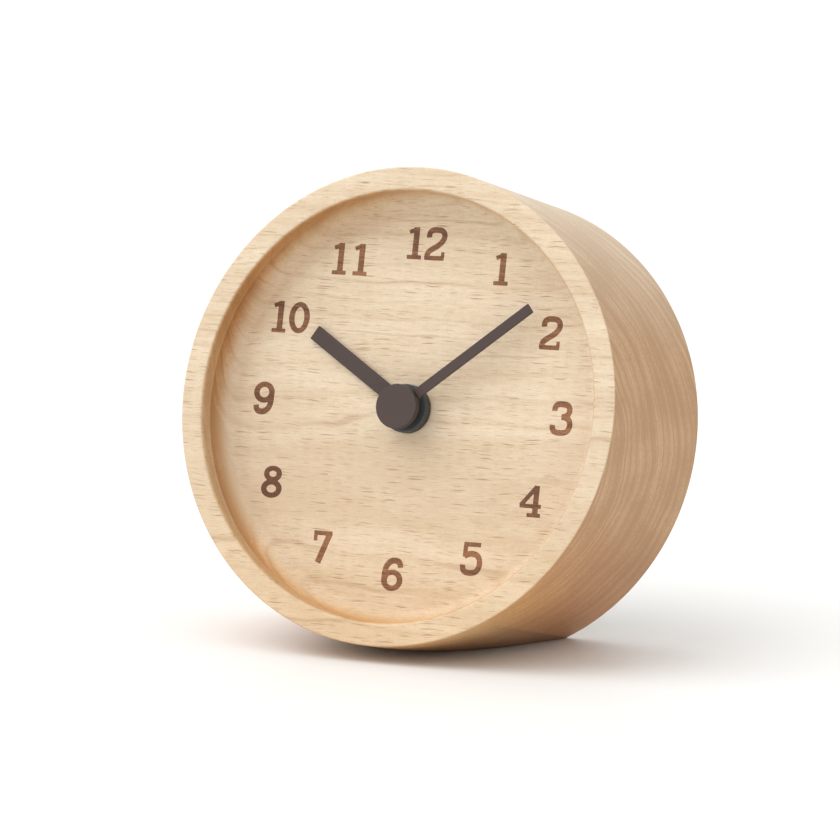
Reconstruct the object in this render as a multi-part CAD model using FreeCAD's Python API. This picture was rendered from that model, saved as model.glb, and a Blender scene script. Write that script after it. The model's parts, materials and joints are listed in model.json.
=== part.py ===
import FreeCAD, Part
import math
import os

# A turned beech desk clock with two hands. Millimetres, floor at zero height, dial towards minus Y.
# The clock's own frame: X to the right, depth back from the rim, Z up the dial, zero at the rim's centre.

os.makedirs("parts", exist_ok=True)

# Case
case_r = 54.0
case_depth = 48.3
lean_deg = 13.0
rim_lift = 4.0
rim_inner_r = 49.0
rim_edge_round = 0.8
front_edge_round = 0.4
back_edge_round = 1.0
dial_depth = 8.2
cove_r = 4.4
web_thick = 5.2
pocket_r = 41.0
pocket_corner_r = 2.0
pocket_mouth_chamfer = 1.2

# Hands and their hubs
hub_r = 5.05
cap_front = 1.2
cap_thick = 1.7
cap_round = 0.25
minute_blade_thick = 0.6
minute_blade_width = 2.3
minute_blade_reach = 38.2
minute_angle_deg = 51.3
hour_hub_r = 5.5
hour_hub_front = 5.4
hour_hub_thick = 1.7
hour_neck_r = 3.2
hour_blade_thick = 0.7
hour_blade_width = 3.5
hour_blade_reach = 30.1
hour_angle_deg = 302.3

# Running and fitting clearances
run_gap = 0.08
end_gap = 0.1
fit_gap = 0.15

# Movement shell
shell_low = 29.0
shell_high = 28.0
shell_depth = 16.0
shell_wall = 1.2
shell_corner_r = 3.0
tray_corner_r = shell_corner_r - shell_wall
trough_wall_low = -12.4
trough_wall_thick = 1.2
floor_hole_depth = 0.8
bush_r = 4.0
bush_bore_r = 2.6
bush_flange_r = 5.2
bush_reach = 4.4
ear_width = 8.0
ear_reach = 6.5
ear_thick = 2.0
ear_hole_r = 1.35
wood_screw_r = 1.1
wood_screw_grip = 3.6
wood_screw_head_r = 2.3
wood_screw_head_thick = 1.1

# Arbors and pipes
arbor_r = 1.6
arbor_rear_r = 1.3
hour_pipe_r = 2.5
hour_pipe_bore_r = 1.7
thin_arbor_r = 0.6
pivot_r = 0.4
fine_pivot_r = 0.3
post_r = 0.8

# Wheel centres, in the plane of the dial
motion_x = -5.4
motion_z = 7.2
setting_x = -12.6
setting_z = 12.6
third_x = 8.16
third_z = 6.12
middle_x = -10.5
middle_z = 0.0
rotor_x = -17.2
rotor_z = -5.04

# Tooth counts
minute_pinion_teeth = 12
motion_wheel_teeth = 36
motion_pinion_teeth = 10
hour_wheel_teeth = 40
setting_pinion_teeth = 12
centre_wheel_teeth = 60
third_pinion_teeth = 8
third_wheel_teeth = 64
second_pinion_teeth = 8
second_wheel_teeth = 50
middle_pinion_teeth = 10
middle_wheel_teeth = 60
rotor_pinion_teeth = 10

# Tooth form
pressure_deg = 20.0
addendum = 0.75
dedendum = 1.3
tooth_share = 0.40
wheel_thick = 0.8
pinion_thick = 1.2

# Levels measured back from the rim
hour_wheel_level = 15.0
motion_pinion_level = 14.9
motion_wheel_level = 16.4
minute_pinion_level = 16.2
friction_level = 17.5
centre_wheel_level = 18.0
third_pinion_level = 17.8
third_wheel_level = 20.0
second_pinion_level = 19.8
second_wheel_level = 21.8
middle_pinion_level = 21.6
middle_wheel_level = 23.6
rotor_pinion_level = 23.4
bridge_level = 25.4
bridge_thick = 1.0
stator_level = 19.0
stator_thick = 0.8
board_level = 22.0
board_thick = 0.8
knob_r = 5.5
knob_thick = 4.6
knob_flutes = 20
knob_flute_r = 0.45
knob_stand = 0.5
setting_shaft_r = 2.0

# Power cell
cell_r = 7.1
cell_length = 49.2
cell_cap_r = 2.7
cell_cap_length = 1.3
cell_z = -20.0
cell_side_gap = 0.1
spring_room = 2.4
strip_thick = 0.3

# Coil beside the rotor
rotor_to_coil = 5.0
flange_half = 3.6
coil_wall_gap = 1.0
coil_x = rotor_x - rotor_to_coil

# The shell is as wide as the cell with its contacts needs, or as the train with its coil needs
cell_half = 0.5 * (cell_length + cell_cap_length + cell_side_gap + spring_room) + strip_thick
train_half = flange_half + coil_wall_gap - coil_x
inner_half = max(cell_half, train_half)
shell_half_width = inner_half + shell_wall

# Derived levels
web_back = dial_depth + web_thick
floor_back = web_back + shell_wall
shell_back = web_back + shell_depth
lid_front = shell_back - shell_wall
bridge_back = bridge_level + bridge_thick
cap_back = cap_front + cap_thick
minute_blade_back = cap_back + minute_blade_thick
hour_hub_back = hour_hub_front + hour_hub_thick
hour_blade_back = hour_hub_back + hour_blade_thick
lean = math.radians(lean_deg)


# Shape helpers, all in the clock's own frame

def disc(radius, front, back, x=0.0, z=0.0):
    start = FreeCAD.Vector(x, front, z)
    return Part.makeCylinder(radius, back - front, start, FreeCAD.Vector(0, 1, 0))


def ring(radius, hole, front, back, x=0.0, z=0.0):
    overrun = 1.0
    return disc(radius, front, back, x, z).cut(disc(hole, front - overrun, back + overrun, x, z))


def block(x_low, x_high, front, back, z_low, z_high):
    corner = FreeCAD.Vector(x_low, front, z_low)
    return Part.makeBox(x_high - x_low, back - front, z_high - z_low, corner)


def rod_x(radius, x_low, x_high, depth, z):
    start = FreeCAD.Vector(x_low, depth, z)
    return Part.makeCylinder(radius, x_high - x_low, start, FreeCAD.Vector(1, 0, 0))


def rod_z(radius, z_low, z_high, x, depth):
    start = FreeCAD.Vector(x, depth, z_low)
    return Part.makeCylinder(radius, z_high - z_low, start, FreeCAD.Vector(0, 0, 1))


def wire_between(points, radius):
    pieces = []
    for a, b in zip(points[:-1], points[1:]):
        way = b.sub(a)
        pieces.append(Part.makeCylinder(radius, way.Length, a, way))
    for middle in points[1:-1]:
        pieces.append(Part.makeSphere(radius, middle))
    solid = pieces[0]
    for piece in pieces[1:]:
        solid = solid.fuse(piece)
    return solid


def soft_block(x_low, x_high, front, back, z_low, z_high, radius):
    solid = block(x_low, x_high, front, back, z_low, z_high)
    edges = []
    for edge in solid.Edges:
        a = edge.Vertexes[0].Point
        b = edge.Vertexes[1].Point
        if abs(a.x - b.x) < 1e-6 and abs(a.z - b.z) < 1e-6:
            edges.append(edge)
    return solid.makeFillet(radius, edges)


def joined(pieces):
    solid = pieces[0]
    for piece in pieces[1:]:
        solid = solid.fuse(piece)
    return solid.removeSplitter()


def turned_by(shape, degrees):
    turned = shape.copy()
    turned.rotate(FreeCAD.Vector(0, 0, 0), FreeCAD.Vector(0, 1, 0), degrees)
    return turned


# Gear teeth

def involute(angle):
    return math.tan(angle) - angle


def toothed(teeth, module, front, thick, x, z, phase):
    pitch_r = 0.5 * module * teeth
    base_r = pitch_r * math.cos(math.radians(pressure_deg))
    root_r = pitch_r - dedendum * module
    tip_r = pitch_r + addendum * module
    half_pitch_angle = tooth_share * math.pi / teeth
    at_pitch = involute(math.radians(pressure_deg))
    radii = [root_r, max(base_r, root_r + 0.02), pitch_r, tip_r]
    flank = []
    for r in radii:
        roll = math.acos(min(1.0, base_r / r))
        flank.append((r, half_pitch_angle + at_pitch - involute(roll)))
    points = []
    for tooth in range(teeth):
        centre = phase + 2.0 * math.pi * tooth / teeth
        outline = [(r, centre - a) for r, a in flank] + [(r, centre + a) for r, a in reversed(flank)]
        for r, a in outline:
            points.append(FreeCAD.Vector(x + r * math.cos(a), front, z + r * math.sin(a)))
    points.append(points[0])
    face = Part.Face(Part.makePolygon(points))
    return face.extrude(FreeCAD.Vector(0, thick, 0))


def meshed_phase(phase_a, teeth_a, xa, za, teeth_b, xb, zb):
    line = math.atan2(zb - za, xb - xa)
    offset = phase_a - line
    return line + math.pi + math.pi / teeth_b - offset * teeth_a / teeth_b


def module_for(distance, teeth_a, teeth_b):
    return 2.0 * distance / (teeth_a + teeth_b)


motion_distance = math.hypot(motion_x, motion_z)
setting_distance = math.hypot(setting_x - motion_x, setting_z - motion_z)
third_distance = math.hypot(third_x, third_z)
middle_distance = math.hypot(middle_x, middle_z)
rotor_distance = math.hypot(rotor_x - middle_x, rotor_z - middle_z)
hour_module = module_for(motion_distance, hour_wheel_teeth, motion_pinion_teeth)
minute_module = module_for(motion_distance, minute_pinion_teeth, motion_wheel_teeth)
setting_module = module_for(setting_distance, setting_pinion_teeth, motion_wheel_teeth)
centre_module = module_for(third_distance, centre_wheel_teeth, third_pinion_teeth)
third_module = module_for(third_distance, third_wheel_teeth, second_pinion_teeth)
second_module = module_for(middle_distance, second_wheel_teeth, middle_pinion_teeth)
middle_module = module_for(rotor_distance, middle_wheel_teeth, rotor_pinion_teeth)

parts = {}


# Turned case: rim, coved recess, dial web, rear pocket

def arc_between(centre_r, centre_depth, radius, start_deg, end_deg):
    mid_deg = 0.5 * (start_deg + end_deg)
    points = []
    for degrees in (start_deg, mid_deg, end_deg):
        a = math.radians(degrees)
        points.append(FreeCAD.Vector(centre_r + radius * math.cos(a),
                                     centre_depth + radius * math.sin(a), 0))
    return Part.Arc(points[0], points[1], points[2]).toShape(), points[0], points[2]


recess_r = rim_inner_r - 0.5 * rim_edge_round
arcs = [
    arc_between(case_r - front_edge_round, front_edge_round, front_edge_round, -90.0, 0.0),
    arc_between(case_r - back_edge_round, case_depth - back_edge_round, back_edge_round, 0.0, 90.0),
    arc_between(pocket_r - pocket_corner_r, web_back + pocket_corner_r, pocket_corner_r, 0.0, -90.0),
    arc_between(recess_r - cove_r, dial_depth - cove_r, cove_r, 90.0, 0.0),
    arc_between(recess_r + rim_edge_round, rim_edge_round, rim_edge_round, 180.0, 270.0),
]
hole_r = bush_r + fit_gap
waypoints = {
    1: [FreeCAD.Vector(pocket_r + pocket_mouth_chamfer, case_depth, 0),
        FreeCAD.Vector(pocket_r, case_depth - pocket_mouth_chamfer, 0)],
    2: [FreeCAD.Vector(hole_r, web_back, 0), FreeCAD.Vector(hole_r, dial_depth, 0)],
}
outline = []
for index, (arc, start, end) in enumerate(arcs):
    outline.append(arc)
    following = arcs[(index + 1) % len(arcs)][1]
    chain = [end] + waypoints.get(index, []) + [following]
    for a, b in zip(chain[:-1], chain[1:]):
        outline.append(Part.makeLine(a, b))
profile = Part.Face(Part.Wire(Part.sortEdges(outline)[0]))
case = profile.revolve(FreeCAD.Vector(0, 0, 0), FreeCAD.Vector(0, 1, 0), 360.0)
if case.Volume < 0:
    case.reverse()

# Screw points that hold the movement against the web
ear_centre = shell_half_width + 0.5 * ear_reach
fixings = [(-ear_centre, 0.0), (ear_centre, 0.0), (0.0, ear_centre)]
for x, z in fixings:
    case = case.cut(disc(wood_screw_r, web_back - wood_screw_grip, web_back + 1.0, x, z))
parts["wooden_case"] = case

# Hour hand on its pipe
hour_plate = disc(hour_hub_r, hour_hub_back, hour_blade_back)
hour_bar = block(-0.5 * hour_blade_width, 0.5 * hour_blade_width, hour_hub_back, hour_blade_back,
                 0.0, hour_blade_reach)
hour_blade = joined([hour_plate, hour_bar])
hour_blade = hour_blade.cut(disc(hour_neck_r, hour_hub_back - 1.0, hour_blade_back + 1.0))
parts["hour_hand"] = turned_by(hour_blade, hour_angle_deg)
hour_hub = disc(hour_hub_r, hour_hub_front, hour_hub_back)
hub_edges = [e for e in hour_hub.Edges if abs(e.CenterOfMass.y - hour_hub_front) < 1e-6]
hour_hub = hour_hub.makeFillet(cap_round, hub_edges)
hour_hub = joined([hour_hub, disc(hour_neck_r, hour_hub_back - 0.1, hour_blade_back)])
parts["hour_hand_hub"] = hour_hub.cut(disc(hour_pipe_r, hour_hub_front - 1.0, hour_blade_back + 1.0))

# Minute hand and the cap over it
minute_plate = disc(hub_r - cap_round, cap_back, minute_blade_back)
minute_bar = block(-0.5 * minute_blade_width, 0.5 * minute_blade_width, cap_back, minute_blade_back,
                   0.0, minute_blade_reach)
minute_blade = joined([minute_plate, minute_bar])
minute_blade = minute_blade.cut(disc(arbor_r, cap_back - 1.0, minute_blade_back + 1.0))
parts["minute_hand"] = turned_by(minute_blade, minute_angle_deg)
cap_socket = 0.6 * cap_thick
cap = disc(hub_r, cap_front, cap_back)
cap = cap.makeFillet(cap_round, [e for e in cap.Edges if abs(e.CenterOfMass.y - cap_front) < 1e-6])
parts["centre_cap"] = cap.cut(disc(arbor_r, cap_back - cap_socket, cap_back + 1.0))

# Minute arbor with its pinion, carried inside the hour pipe
arbor_back = centre_wheel_level + wheel_thick + 0.6
arbor = disc(arbor_r, cap_back - cap_socket + 0.1, minute_pinion_level)
motion_wheel_phase = 0.0
minute_pinion_phase = meshed_phase(motion_wheel_phase, motion_wheel_teeth, motion_x, motion_z,
                                   minute_pinion_teeth, 0.0, 0.0)
minute_pinion = toothed(minute_pinion_teeth, minute_module, minute_pinion_level, pinion_thick, 0.0, 0.0,
                        minute_pinion_phase)
arbor = joined([arbor, minute_pinion, disc(arbor_rear_r, minute_pinion_level, arbor_back)])
rear_socket = 1.0
parts["minute_arbor"] = arbor.cut(disc(fine_pivot_r + run_gap, arbor_back - rear_socket, arbor_back + 1.0))

# Hour wheel with its pipe through the bush
hour_phase = 0.0
hour_wheel = toothed(hour_wheel_teeth, hour_module, hour_wheel_level, wheel_thick, 0.0, 0.0, hour_phase)
hour_wheel = joined([hour_wheel, disc(hour_pipe_r, hour_hub_front - 0.4, hour_wheel_level)])
parts["hour_wheel"] = hour_wheel.cut(disc(hour_pipe_bore_r, 0.0, shell_back))
washer_front = hour_wheel_level + wheel_thick
parts["hour_washer"] = ring(hour_pipe_bore_r + 1.3, hour_pipe_bore_r, washer_front, washer_front + 0.25)

# Motion wheel and pinion on a moulded post
motion_pinion_phase = meshed_phase(hour_phase, hour_wheel_teeth, 0.0, 0.0,
                                   motion_pinion_teeth, motion_x, motion_z)
motion_pinion = toothed(motion_pinion_teeth, hour_module, motion_pinion_level,
                        motion_wheel_level - motion_pinion_level, motion_x, motion_z, motion_pinion_phase)
motion_wheel = toothed(motion_wheel_teeth, minute_module, motion_wheel_level, wheel_thick,
                       motion_x, motion_z, motion_wheel_phase)
motion_bore = disc(post_r + run_gap, 0.0, shell_back, motion_x, motion_z)
parts["motion_wheel"] = joined([motion_pinion, motion_wheel]).cut(motion_bore)

# Setting shaft and knob
setting_phase = meshed_phase(motion_wheel_phase, motion_wheel_teeth, motion_x, motion_z,
                             setting_pinion_teeth, setting_x, setting_z)
setting_pinion = toothed(setting_pinion_teeth, setting_module, minute_pinion_level, pinion_thick,
                         setting_x, setting_z, setting_phase)
knob_front = shell_back + knob_stand
shaft_start = minute_pinion_level + pinion_thick
knob_socket = 0.7 * knob_thick
knob_round = 0.5
setting_shaft = joined([
    disc(2.0 * pivot_r, floor_back - floor_hole_depth + end_gap, minute_pinion_level, setting_x, setting_z),
    setting_pinion,
    disc(setting_shaft_r, shaft_start, knob_front + knob_socket, setting_x, setting_z),
])
parts["setting_shaft"] = setting_shaft
knob = disc(knob_r, knob_front, knob_front + knob_thick, setting_x, setting_z)
knob_edges = [e for e in knob.Edges if abs(e.CenterOfMass.y - knob_front - knob_thick) < 1e-6]
knob = knob.makeFillet(knob_round, knob_edges)
for index in range(knob_flutes):
    a = 2.0 * math.pi * index / knob_flutes
    knob = knob.cut(disc(knob_flute_r, knob_front - 1.0, knob_front + knob_thick + 1.0,
                         setting_x + knob_r * math.cos(a), setting_z + knob_r * math.sin(a)))
parts["setting_knob"] = knob.cut(disc(setting_shaft_r, knob_front - 1.0, knob_front + knob_socket,
                                      setting_x, setting_z))

# Going train: centre wheel with its friction drive
centre_phase = 0.0
centre_wheel = toothed(centre_wheel_teeth, centre_module, centre_wheel_level, wheel_thick, 0.0, 0.0,
                       centre_phase)
spoke_hub_r = 3.2
spoke_rim_r = 0.5 * centre_module * centre_wheel_teeth - 1.6
window_count = 4
centre_wheel = centre_wheel.cut(disc(arbor_rear_r + run_gap, 0.0, shell_back))


def windows(wheel, hub, rim, count, front, back, x, z):
    spoke_half = 0.6
    band = disc(rim, front - 1.0, back + 1.0, x, z).cut(disc(hub, front - 2.0, back + 2.0, x, z))
    for index in range(count):
        spoke = block(x - spoke_half, x + spoke_half, front - 2.0, back + 2.0, z - rim - 1.0, z)
        spoke.rotate(FreeCAD.Vector(x, 0, z), FreeCAD.Vector(0, 1, 0), 360.0 * index / count)
        band = band.cut(spoke)
    return wheel.cut(band)


parts["centre_wheel"] = windows(centre_wheel, spoke_hub_r, spoke_rim_r, window_count,
                                centre_wheel_level, centre_wheel_level + wheel_thick, 0.0, 0.0)
parts["friction_spring"] = ring(arbor_rear_r + 1.1, arbor_rear_r, friction_level, friction_level + 0.35)
clip_front = centre_wheel_level + wheel_thick + end_gap
parts["arbor_clip"] = ring(arbor_rear_r + 0.8, arbor_rear_r, clip_front, clip_front + 0.3)

# Third wheel and pinion
third_pinion_phase = meshed_phase(centre_phase, centre_wheel_teeth, 0.0, 0.0,
                                  third_pinion_teeth, third_x, third_z)
third_wheel_phase = 0.0
third = joined([
    disc(pivot_r, floor_back - floor_hole_depth + end_gap, floor_back + end_gap, third_x, third_z),
    disc(thin_arbor_r, floor_back + end_gap, bridge_level - end_gap, third_x, third_z),
    disc(pivot_r, bridge_level - end_gap, bridge_back - end_gap, third_x, third_z),
    toothed(third_pinion_teeth, centre_module, third_pinion_level, pinion_thick, third_x, third_z,
            third_pinion_phase),
    disc(1.0, third_pinion_level + pinion_thick, third_wheel_level, third_x, third_z),
    windows(toothed(third_wheel_teeth, third_module, third_wheel_level, wheel_thick, third_x, third_z,
                    third_wheel_phase), 2.6, 0.5 * third_module * third_wheel_teeth - 1.6, 4,
            third_wheel_level, third_wheel_level + wheel_thick, third_x, third_z),
])
parts["third_wheel"] = third

# Second wheel and pinion behind the minute arbor
second_pinion_phase = meshed_phase(third_wheel_phase, third_wheel_teeth, third_x, third_z,
                                   second_pinion_teeth, 0.0, 0.0)
second_wheel_phase = 0.0
second = joined([
    disc(fine_pivot_r, arbor_back - rear_socket + 0.2, arbor_back + end_gap),
    disc(thin_arbor_r, arbor_back + end_gap, bridge_level - end_gap),
    disc(pivot_r, bridge_level - end_gap, bridge_back - end_gap),
    toothed(second_pinion_teeth, third_module, second_pinion_level, pinion_thick, 0.0, 0.0,
            second_pinion_phase),
    disc(1.0, second_pinion_level + pinion_thick, second_wheel_level),
    windows(toothed(second_wheel_teeth, second_module, second_wheel_level, wheel_thick, 0.0, 0.0,
                    second_wheel_phase), 2.4, 0.5 * second_module * second_wheel_teeth - 1.6, 4,
            second_wheel_level, second_wheel_level + wheel_thick, 0.0, 0.0),
])
parts["second_wheel"] = second

# Intermediate wheel
middle_pinion_phase = meshed_phase(second_wheel_phase, second_wheel_teeth, 0.0, 0.0,
                                   middle_pinion_teeth, middle_x, middle_z)
middle_wheel_phase = 0.0
parts["intermediate_wheel"] = joined([
    disc(pivot_r, floor_back - floor_hole_depth + end_gap, floor_back + end_gap, middle_x, middle_z),
    disc(thin_arbor_r, floor_back + end_gap, bridge_level - end_gap, middle_x, middle_z),
    disc(pivot_r, bridge_level - end_gap, bridge_back - end_gap, middle_x, middle_z),
    toothed(middle_pinion_teeth, second_module, middle_pinion_level,
            middle_wheel_level - middle_pinion_level, middle_x, middle_z, middle_pinion_phase),
    toothed(middle_wheel_teeth, middle_module, middle_wheel_level, wheel_thick, middle_x, middle_z,
            middle_wheel_phase),
])

# Rotor with a ring magnet
magnet_r = 2.9
magnet_front = 18.2
magnet_back = 20.6
sleeve_r = 1.1
rotor_phase = meshed_phase(middle_wheel_phase, middle_wheel_teeth, middle_x, middle_z,
                           rotor_pinion_teeth, rotor_x, rotor_z)
parts["rotor"] = joined([
    disc(pivot_r, floor_back - floor_hole_depth + end_gap, floor_back + end_gap, rotor_x, rotor_z),
    disc(thin_arbor_r, floor_back + end_gap, magnet_front - 0.6, rotor_x, rotor_z),
    disc(sleeve_r + 0.6, magnet_front - 0.6, magnet_front, rotor_x, rotor_z),
    disc(sleeve_r, magnet_front, magnet_back, rotor_x, rotor_z),
    disc(thin_arbor_r, magnet_back, bridge_level - end_gap, rotor_x, rotor_z),
    disc(pivot_r, bridge_level - end_gap, bridge_back - end_gap, rotor_x, rotor_z),
    toothed(rotor_pinion_teeth, middle_module, rotor_pinion_level, pinion_thick, rotor_x, rotor_z,
            rotor_phase),
])
parts["rotor_magnet"] = ring(magnet_r, sleeve_r, magnet_front, magnet_back, rotor_x, rotor_z)

# Stator halves around the rotor, with the core bar behind them
stator_back = stator_level + stator_thick
stator_hole_r = magnet_r + 0.5
slot_half = 0.2
core_half = 1.5
core_thick = 0.8
core_low = -9.8
core_high = 22.6
leg_width = 2.6
leg_drop = 2.4
leg_reach = 1.6
leg_right = rotor_x + leg_reach
yoke_low = -10.0
yoke_high = 0.4
yoke_step = 0.5
yoke_reach = 4.2
yoke_right = rotor_x + yoke_reach
yoke_margin = 1.2
left = block(coil_x - core_half - yoke_margin, rotor_x - slot_half, stator_level, stator_back,
             yoke_low, yoke_high)
left = left.cut(disc(stator_hole_r, stator_level - 1.0, stator_back + 1.0, rotor_x, rotor_z))
parts["stator_left"] = left
right = joined([
    block(rotor_x + slot_half, yoke_right, stator_level, stator_back, yoke_low, yoke_high),
    block(rotor_x + slot_half, leg_right, stator_level, stator_back,
          yoke_high - leg_drop, yoke_high + leg_drop),
    block(leg_right - leg_width, leg_right, stator_level, stator_back, yoke_high + yoke_step, core_high),
    block(coil_x - core_half - 0.5 * yoke_margin, leg_right, stator_level, stator_back,
          core_high - leg_drop, core_high),
])
parts["stator_right"] = right.cut(disc(stator_hole_r, stator_level - 1.0, stator_back + 1.0,
                                       rotor_x, rotor_z))
core_back = stator_back + core_thick
parts["coil_core"] = block(coil_x - core_half, coil_x + core_half, stator_back, core_back,
                           core_low, core_high)

# Coil bobbin and winding around the core
bobbin_low = 1.8
bobbin_high = 19.4
flange_thick = 0.8
tube_wall = 0.4
winding_r = 3.2
core_mid = stator_back + 0.5 * core_thick
tube = block(coil_x - core_half - tube_wall, coil_x + core_half + tube_wall,
             stator_back - tube_wall, core_back + tube_wall, bobbin_low, bobbin_high)
flange_a = block(coil_x - flange_half, coil_x + flange_half, core_mid - flange_half, core_mid + flange_half,
                 bobbin_low, bobbin_low + flange_thick)
flange_b = block(coil_x - flange_half, coil_x + flange_half, core_mid - flange_half, core_mid + flange_half,
                 bobbin_high - flange_thick, bobbin_high)
bobbin = joined([tube, flange_a, flange_b])
bobbin = bobbin.cut(block(coil_x - core_half, coil_x + core_half, stator_back, core_back,
                          core_low, core_high))
parts["coil_bobbin"] = bobbin
winding = rod_z(winding_r, bobbin_low + flange_thick, bobbin_high - flange_thick, coil_x, core_mid)
parts["coil_winding"] = winding.cut(tube)

# Circuit board and its components
board_wall_gap = 1.2
board_top_gap = 0.6
board_length = 35.2
board_height = 9.2
board_x_high = inner_half - board_wall_gap
board_x_low = board_x_high - board_length
board_z_high = shell_high - shell_wall - board_top_gap
board_z_low = board_z_high - board_height
boss_r = 2.0
boss_drop = 2.8
boss_inset = 12.6
boss_x = board_x_low + boss_inset
boss_z = board_z_high - boss_drop
board_back = board_level + board_thick
board = soft_block(board_x_low, board_x_high, board_level, board_back, board_z_low, board_z_high,
                   board_thick)
parts["circuit_board"] = board.cut(disc(boss_r + end_gap, board_level - 1.0, board_back + 1.0,
                                        boss_x, boss_z))
can_r = 1.0
can_length = 6.0
can_lead_r = 0.15
can_lead_length = 1.6
can_lead_offset = 0.4
can_mid = board_back + can_r
can_drop = 2.6
can_inset = 9.0
can_z = board_z_high - can_drop
can_start = boss_x + can_inset
can_pieces = [rod_x(can_r, can_start, can_start + can_length, can_mid, can_z)]
for side in (-1.0, 1.0):
    lead_z = can_z + side * can_lead_offset
    can_pieces.append(rod_x(can_lead_r, can_start - can_lead_length, can_start, can_mid, lead_z))
    can_pieces.append(disc(can_lead_r, board_back, can_mid, can_start - can_lead_length, lead_z))
parts["crystal_can"] = joined(can_pieces)
chip_r = 2.6
chip_crown_r = 1.6
chip_side = 0.5
chip_crown = 0.6
chip_inset = 5.0
chip_x = board_x_low + chip_inset
chip_z = 0.5 * (board_z_low + board_z_high)
chip_bottom = disc(chip_r, board_back, board_back + chip_side, chip_x, chip_z)
chip_top = Part.makeCone(chip_r, chip_crown_r, chip_crown,
                         FreeCAD.Vector(chip_x, board_back + chip_side, chip_z), FreeCAD.Vector(0, 1, 0))
parts["control_chip"] = joined([chip_bottom, chip_top])
capacitor_length = 3.2
capacitor_width = 1.6
capacitor_high = 1.2
capacitor_inset = 7.2
capacitor_rise = 1.4
capacitor_x = board_x_high - capacitor_inset
capacitor_z = board_z_low + capacitor_rise
parts["smoothing_capacitor"] = block(capacitor_x, capacitor_x + capacitor_length, board_back,
                                     board_back + capacitor_high,
                                     capacitor_z, capacitor_z + capacitor_width)

# Leads from the coil to the board
lead_r = 0.15
lead_step = 1.0
lead_inset = 0.8
lead_depth = core_mid + flange_half - 0.5
leads = []
for index in range(2):
    start_x = coil_x + flange_half - lead_inset - index * lead_step
    end_x = board_x_low + lead_step + index * (lead_step + 4.0 * end_gap)
    run_z = board_z_high - (2 - index) * lead_inset
    leads.append(wire_between([
        FreeCAD.Vector(start_x, lead_depth, bobbin_high),
        FreeCAD.Vector(start_x, lead_depth, run_z),
        FreeCAD.Vector(end_x, lead_depth, run_z),
        FreeCAD.Vector(end_x, board_back, run_z)], lead_r))
parts["coil_leads"] = Part.makeCompound(leads)

# Front shell of the movement with the gear tray and the open cell trough
trough_wall_high = trough_wall_low + trough_wall_thick
shell = soft_block(-shell_half_width, shell_half_width, web_back, shell_back, -shell_low, shell_high,
                   shell_corner_r)
tray = soft_block(-inner_half, inner_half, floor_back, shell_back + 1.0,
                  trough_wall_high, shell_high - shell_wall, tray_corner_r)
trough = soft_block(-inner_half, inner_half, floor_back, shell_back + 1.0,
                    -shell_low + shell_wall, trough_wall_low, tray_corner_r)
shell = shell.cut(tray).cut(trough)
ears = []
for x, z in fixings:
    ears.append(disc(0.5 * ear_width, web_back, web_back + ear_thick, x, z))
    if z == 0.0:
        side = 1.0 if x > 0 else -1.0
        inner_x = side * (shell_half_width - 0.5)
        ears.append(block(min(inner_x, x), max(inner_x, x), web_back, web_back + ear_thick,
                          -0.5 * ear_width, 0.5 * ear_width))
    else:
        ears.append(block(-0.5 * ear_width, 0.5 * ear_width, web_back, web_back + ear_thick,
                          shell_high - 0.5, z))
shell = joined([shell] + ears)
for x, z in fixings:
    shell = shell.cut(disc(ear_hole_r, web_back - 1.0, web_back + ear_thick + 1.0, x, z))

# Posts, ledges and bosses moulded into the tray
lid_bosses = [(inner_half - boss_drop, trough_wall_high + boss_drop), (boss_x, boss_z)]
bridge_right = 21.0
bridge_post_inset = 1.5
bridge_posts = [(bridge_right - bridge_post_inset, 6.5), (-14.0, 8.3)]
post_body_r = 1.3
boss_screw_r = 0.9
boss_hole_deep = 6.0
bridge_screw_hole_r = 0.6
bridge_hole_deep = 3.0
ledge_high = trough_wall_high + 1.3
ledge_sink = 0.5
ledge_offset = 2.0
ledge_width = 8.0
features = [disc(post_r, floor_back - ledge_sink, motion_wheel_level + wheel_thick + 2.0 * end_gap,
                 motion_x, motion_z)]
for arbor_x in (middle_x, third_x):
    ledge_left = arbor_x + ledge_offset
    ledge_right = ledge_left + ledge_width
    features.append(block(ledge_left, ledge_right, floor_back - ledge_sink, bridge_level,
                          trough_wall_high - ledge_sink, ledge_high))
for x, z in bridge_posts:
    features.append(disc(post_body_r, floor_back - ledge_sink, bridge_level, x, z))
for x, z in lid_bosses:
    features.append(disc(boss_r, floor_back - ledge_sink, lid_front, x, z))
shell = joined([shell] + features)
for x, z in bridge_posts:
    shell = shell.cut(disc(bridge_screw_hole_r, bridge_level - bridge_hole_deep, bridge_level + 1.0, x, z))
for x, z in lid_bosses:
    shell = shell.cut(disc(boss_screw_r, lid_front - boss_hole_deep, lid_front + 1.0, x, z))
for x, z, r in ((third_x, third_z, pivot_r), (middle_x, middle_z, pivot_r), (rotor_x, rotor_z, pivot_r),
                (setting_x, setting_z, 2.0 * pivot_r)):
    shell = shell.cut(disc(r + run_gap, floor_back - floor_hole_depth, floor_back + 1.0, x, z))
shell = shell.cut(disc(bush_flange_r, web_back - 1.0, floor_back + 1.0))

# Supports under the stator and the board
rest_size = 1.6
rest_margin = 0.8
rest_spots = [
    (coil_x - core_half - rest_margin, core_low + rest_margin, stator_level),
    (coil_x, core_high - leg_drop + rest_margin, stator_level),
    (yoke_right - rest_margin, yoke_low + rest_margin, stator_level),
    (board_x_high - 2.0 * rest_margin, board_z_high - 2.0 * rest_margin, board_level),
    (board_x_low + 2.0 * rest_margin, board_z_low + 2.0 * rest_margin, board_level),
]
rests = []
for x, z, top in rest_spots:
    rests.append(block(x - 0.5 * rest_size, x + 0.5 * rest_size, floor_back - ledge_sink, top,
                       z - 0.5 * rest_size, z + 0.5 * rest_size))
shell = joined([shell] + rests)

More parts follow.
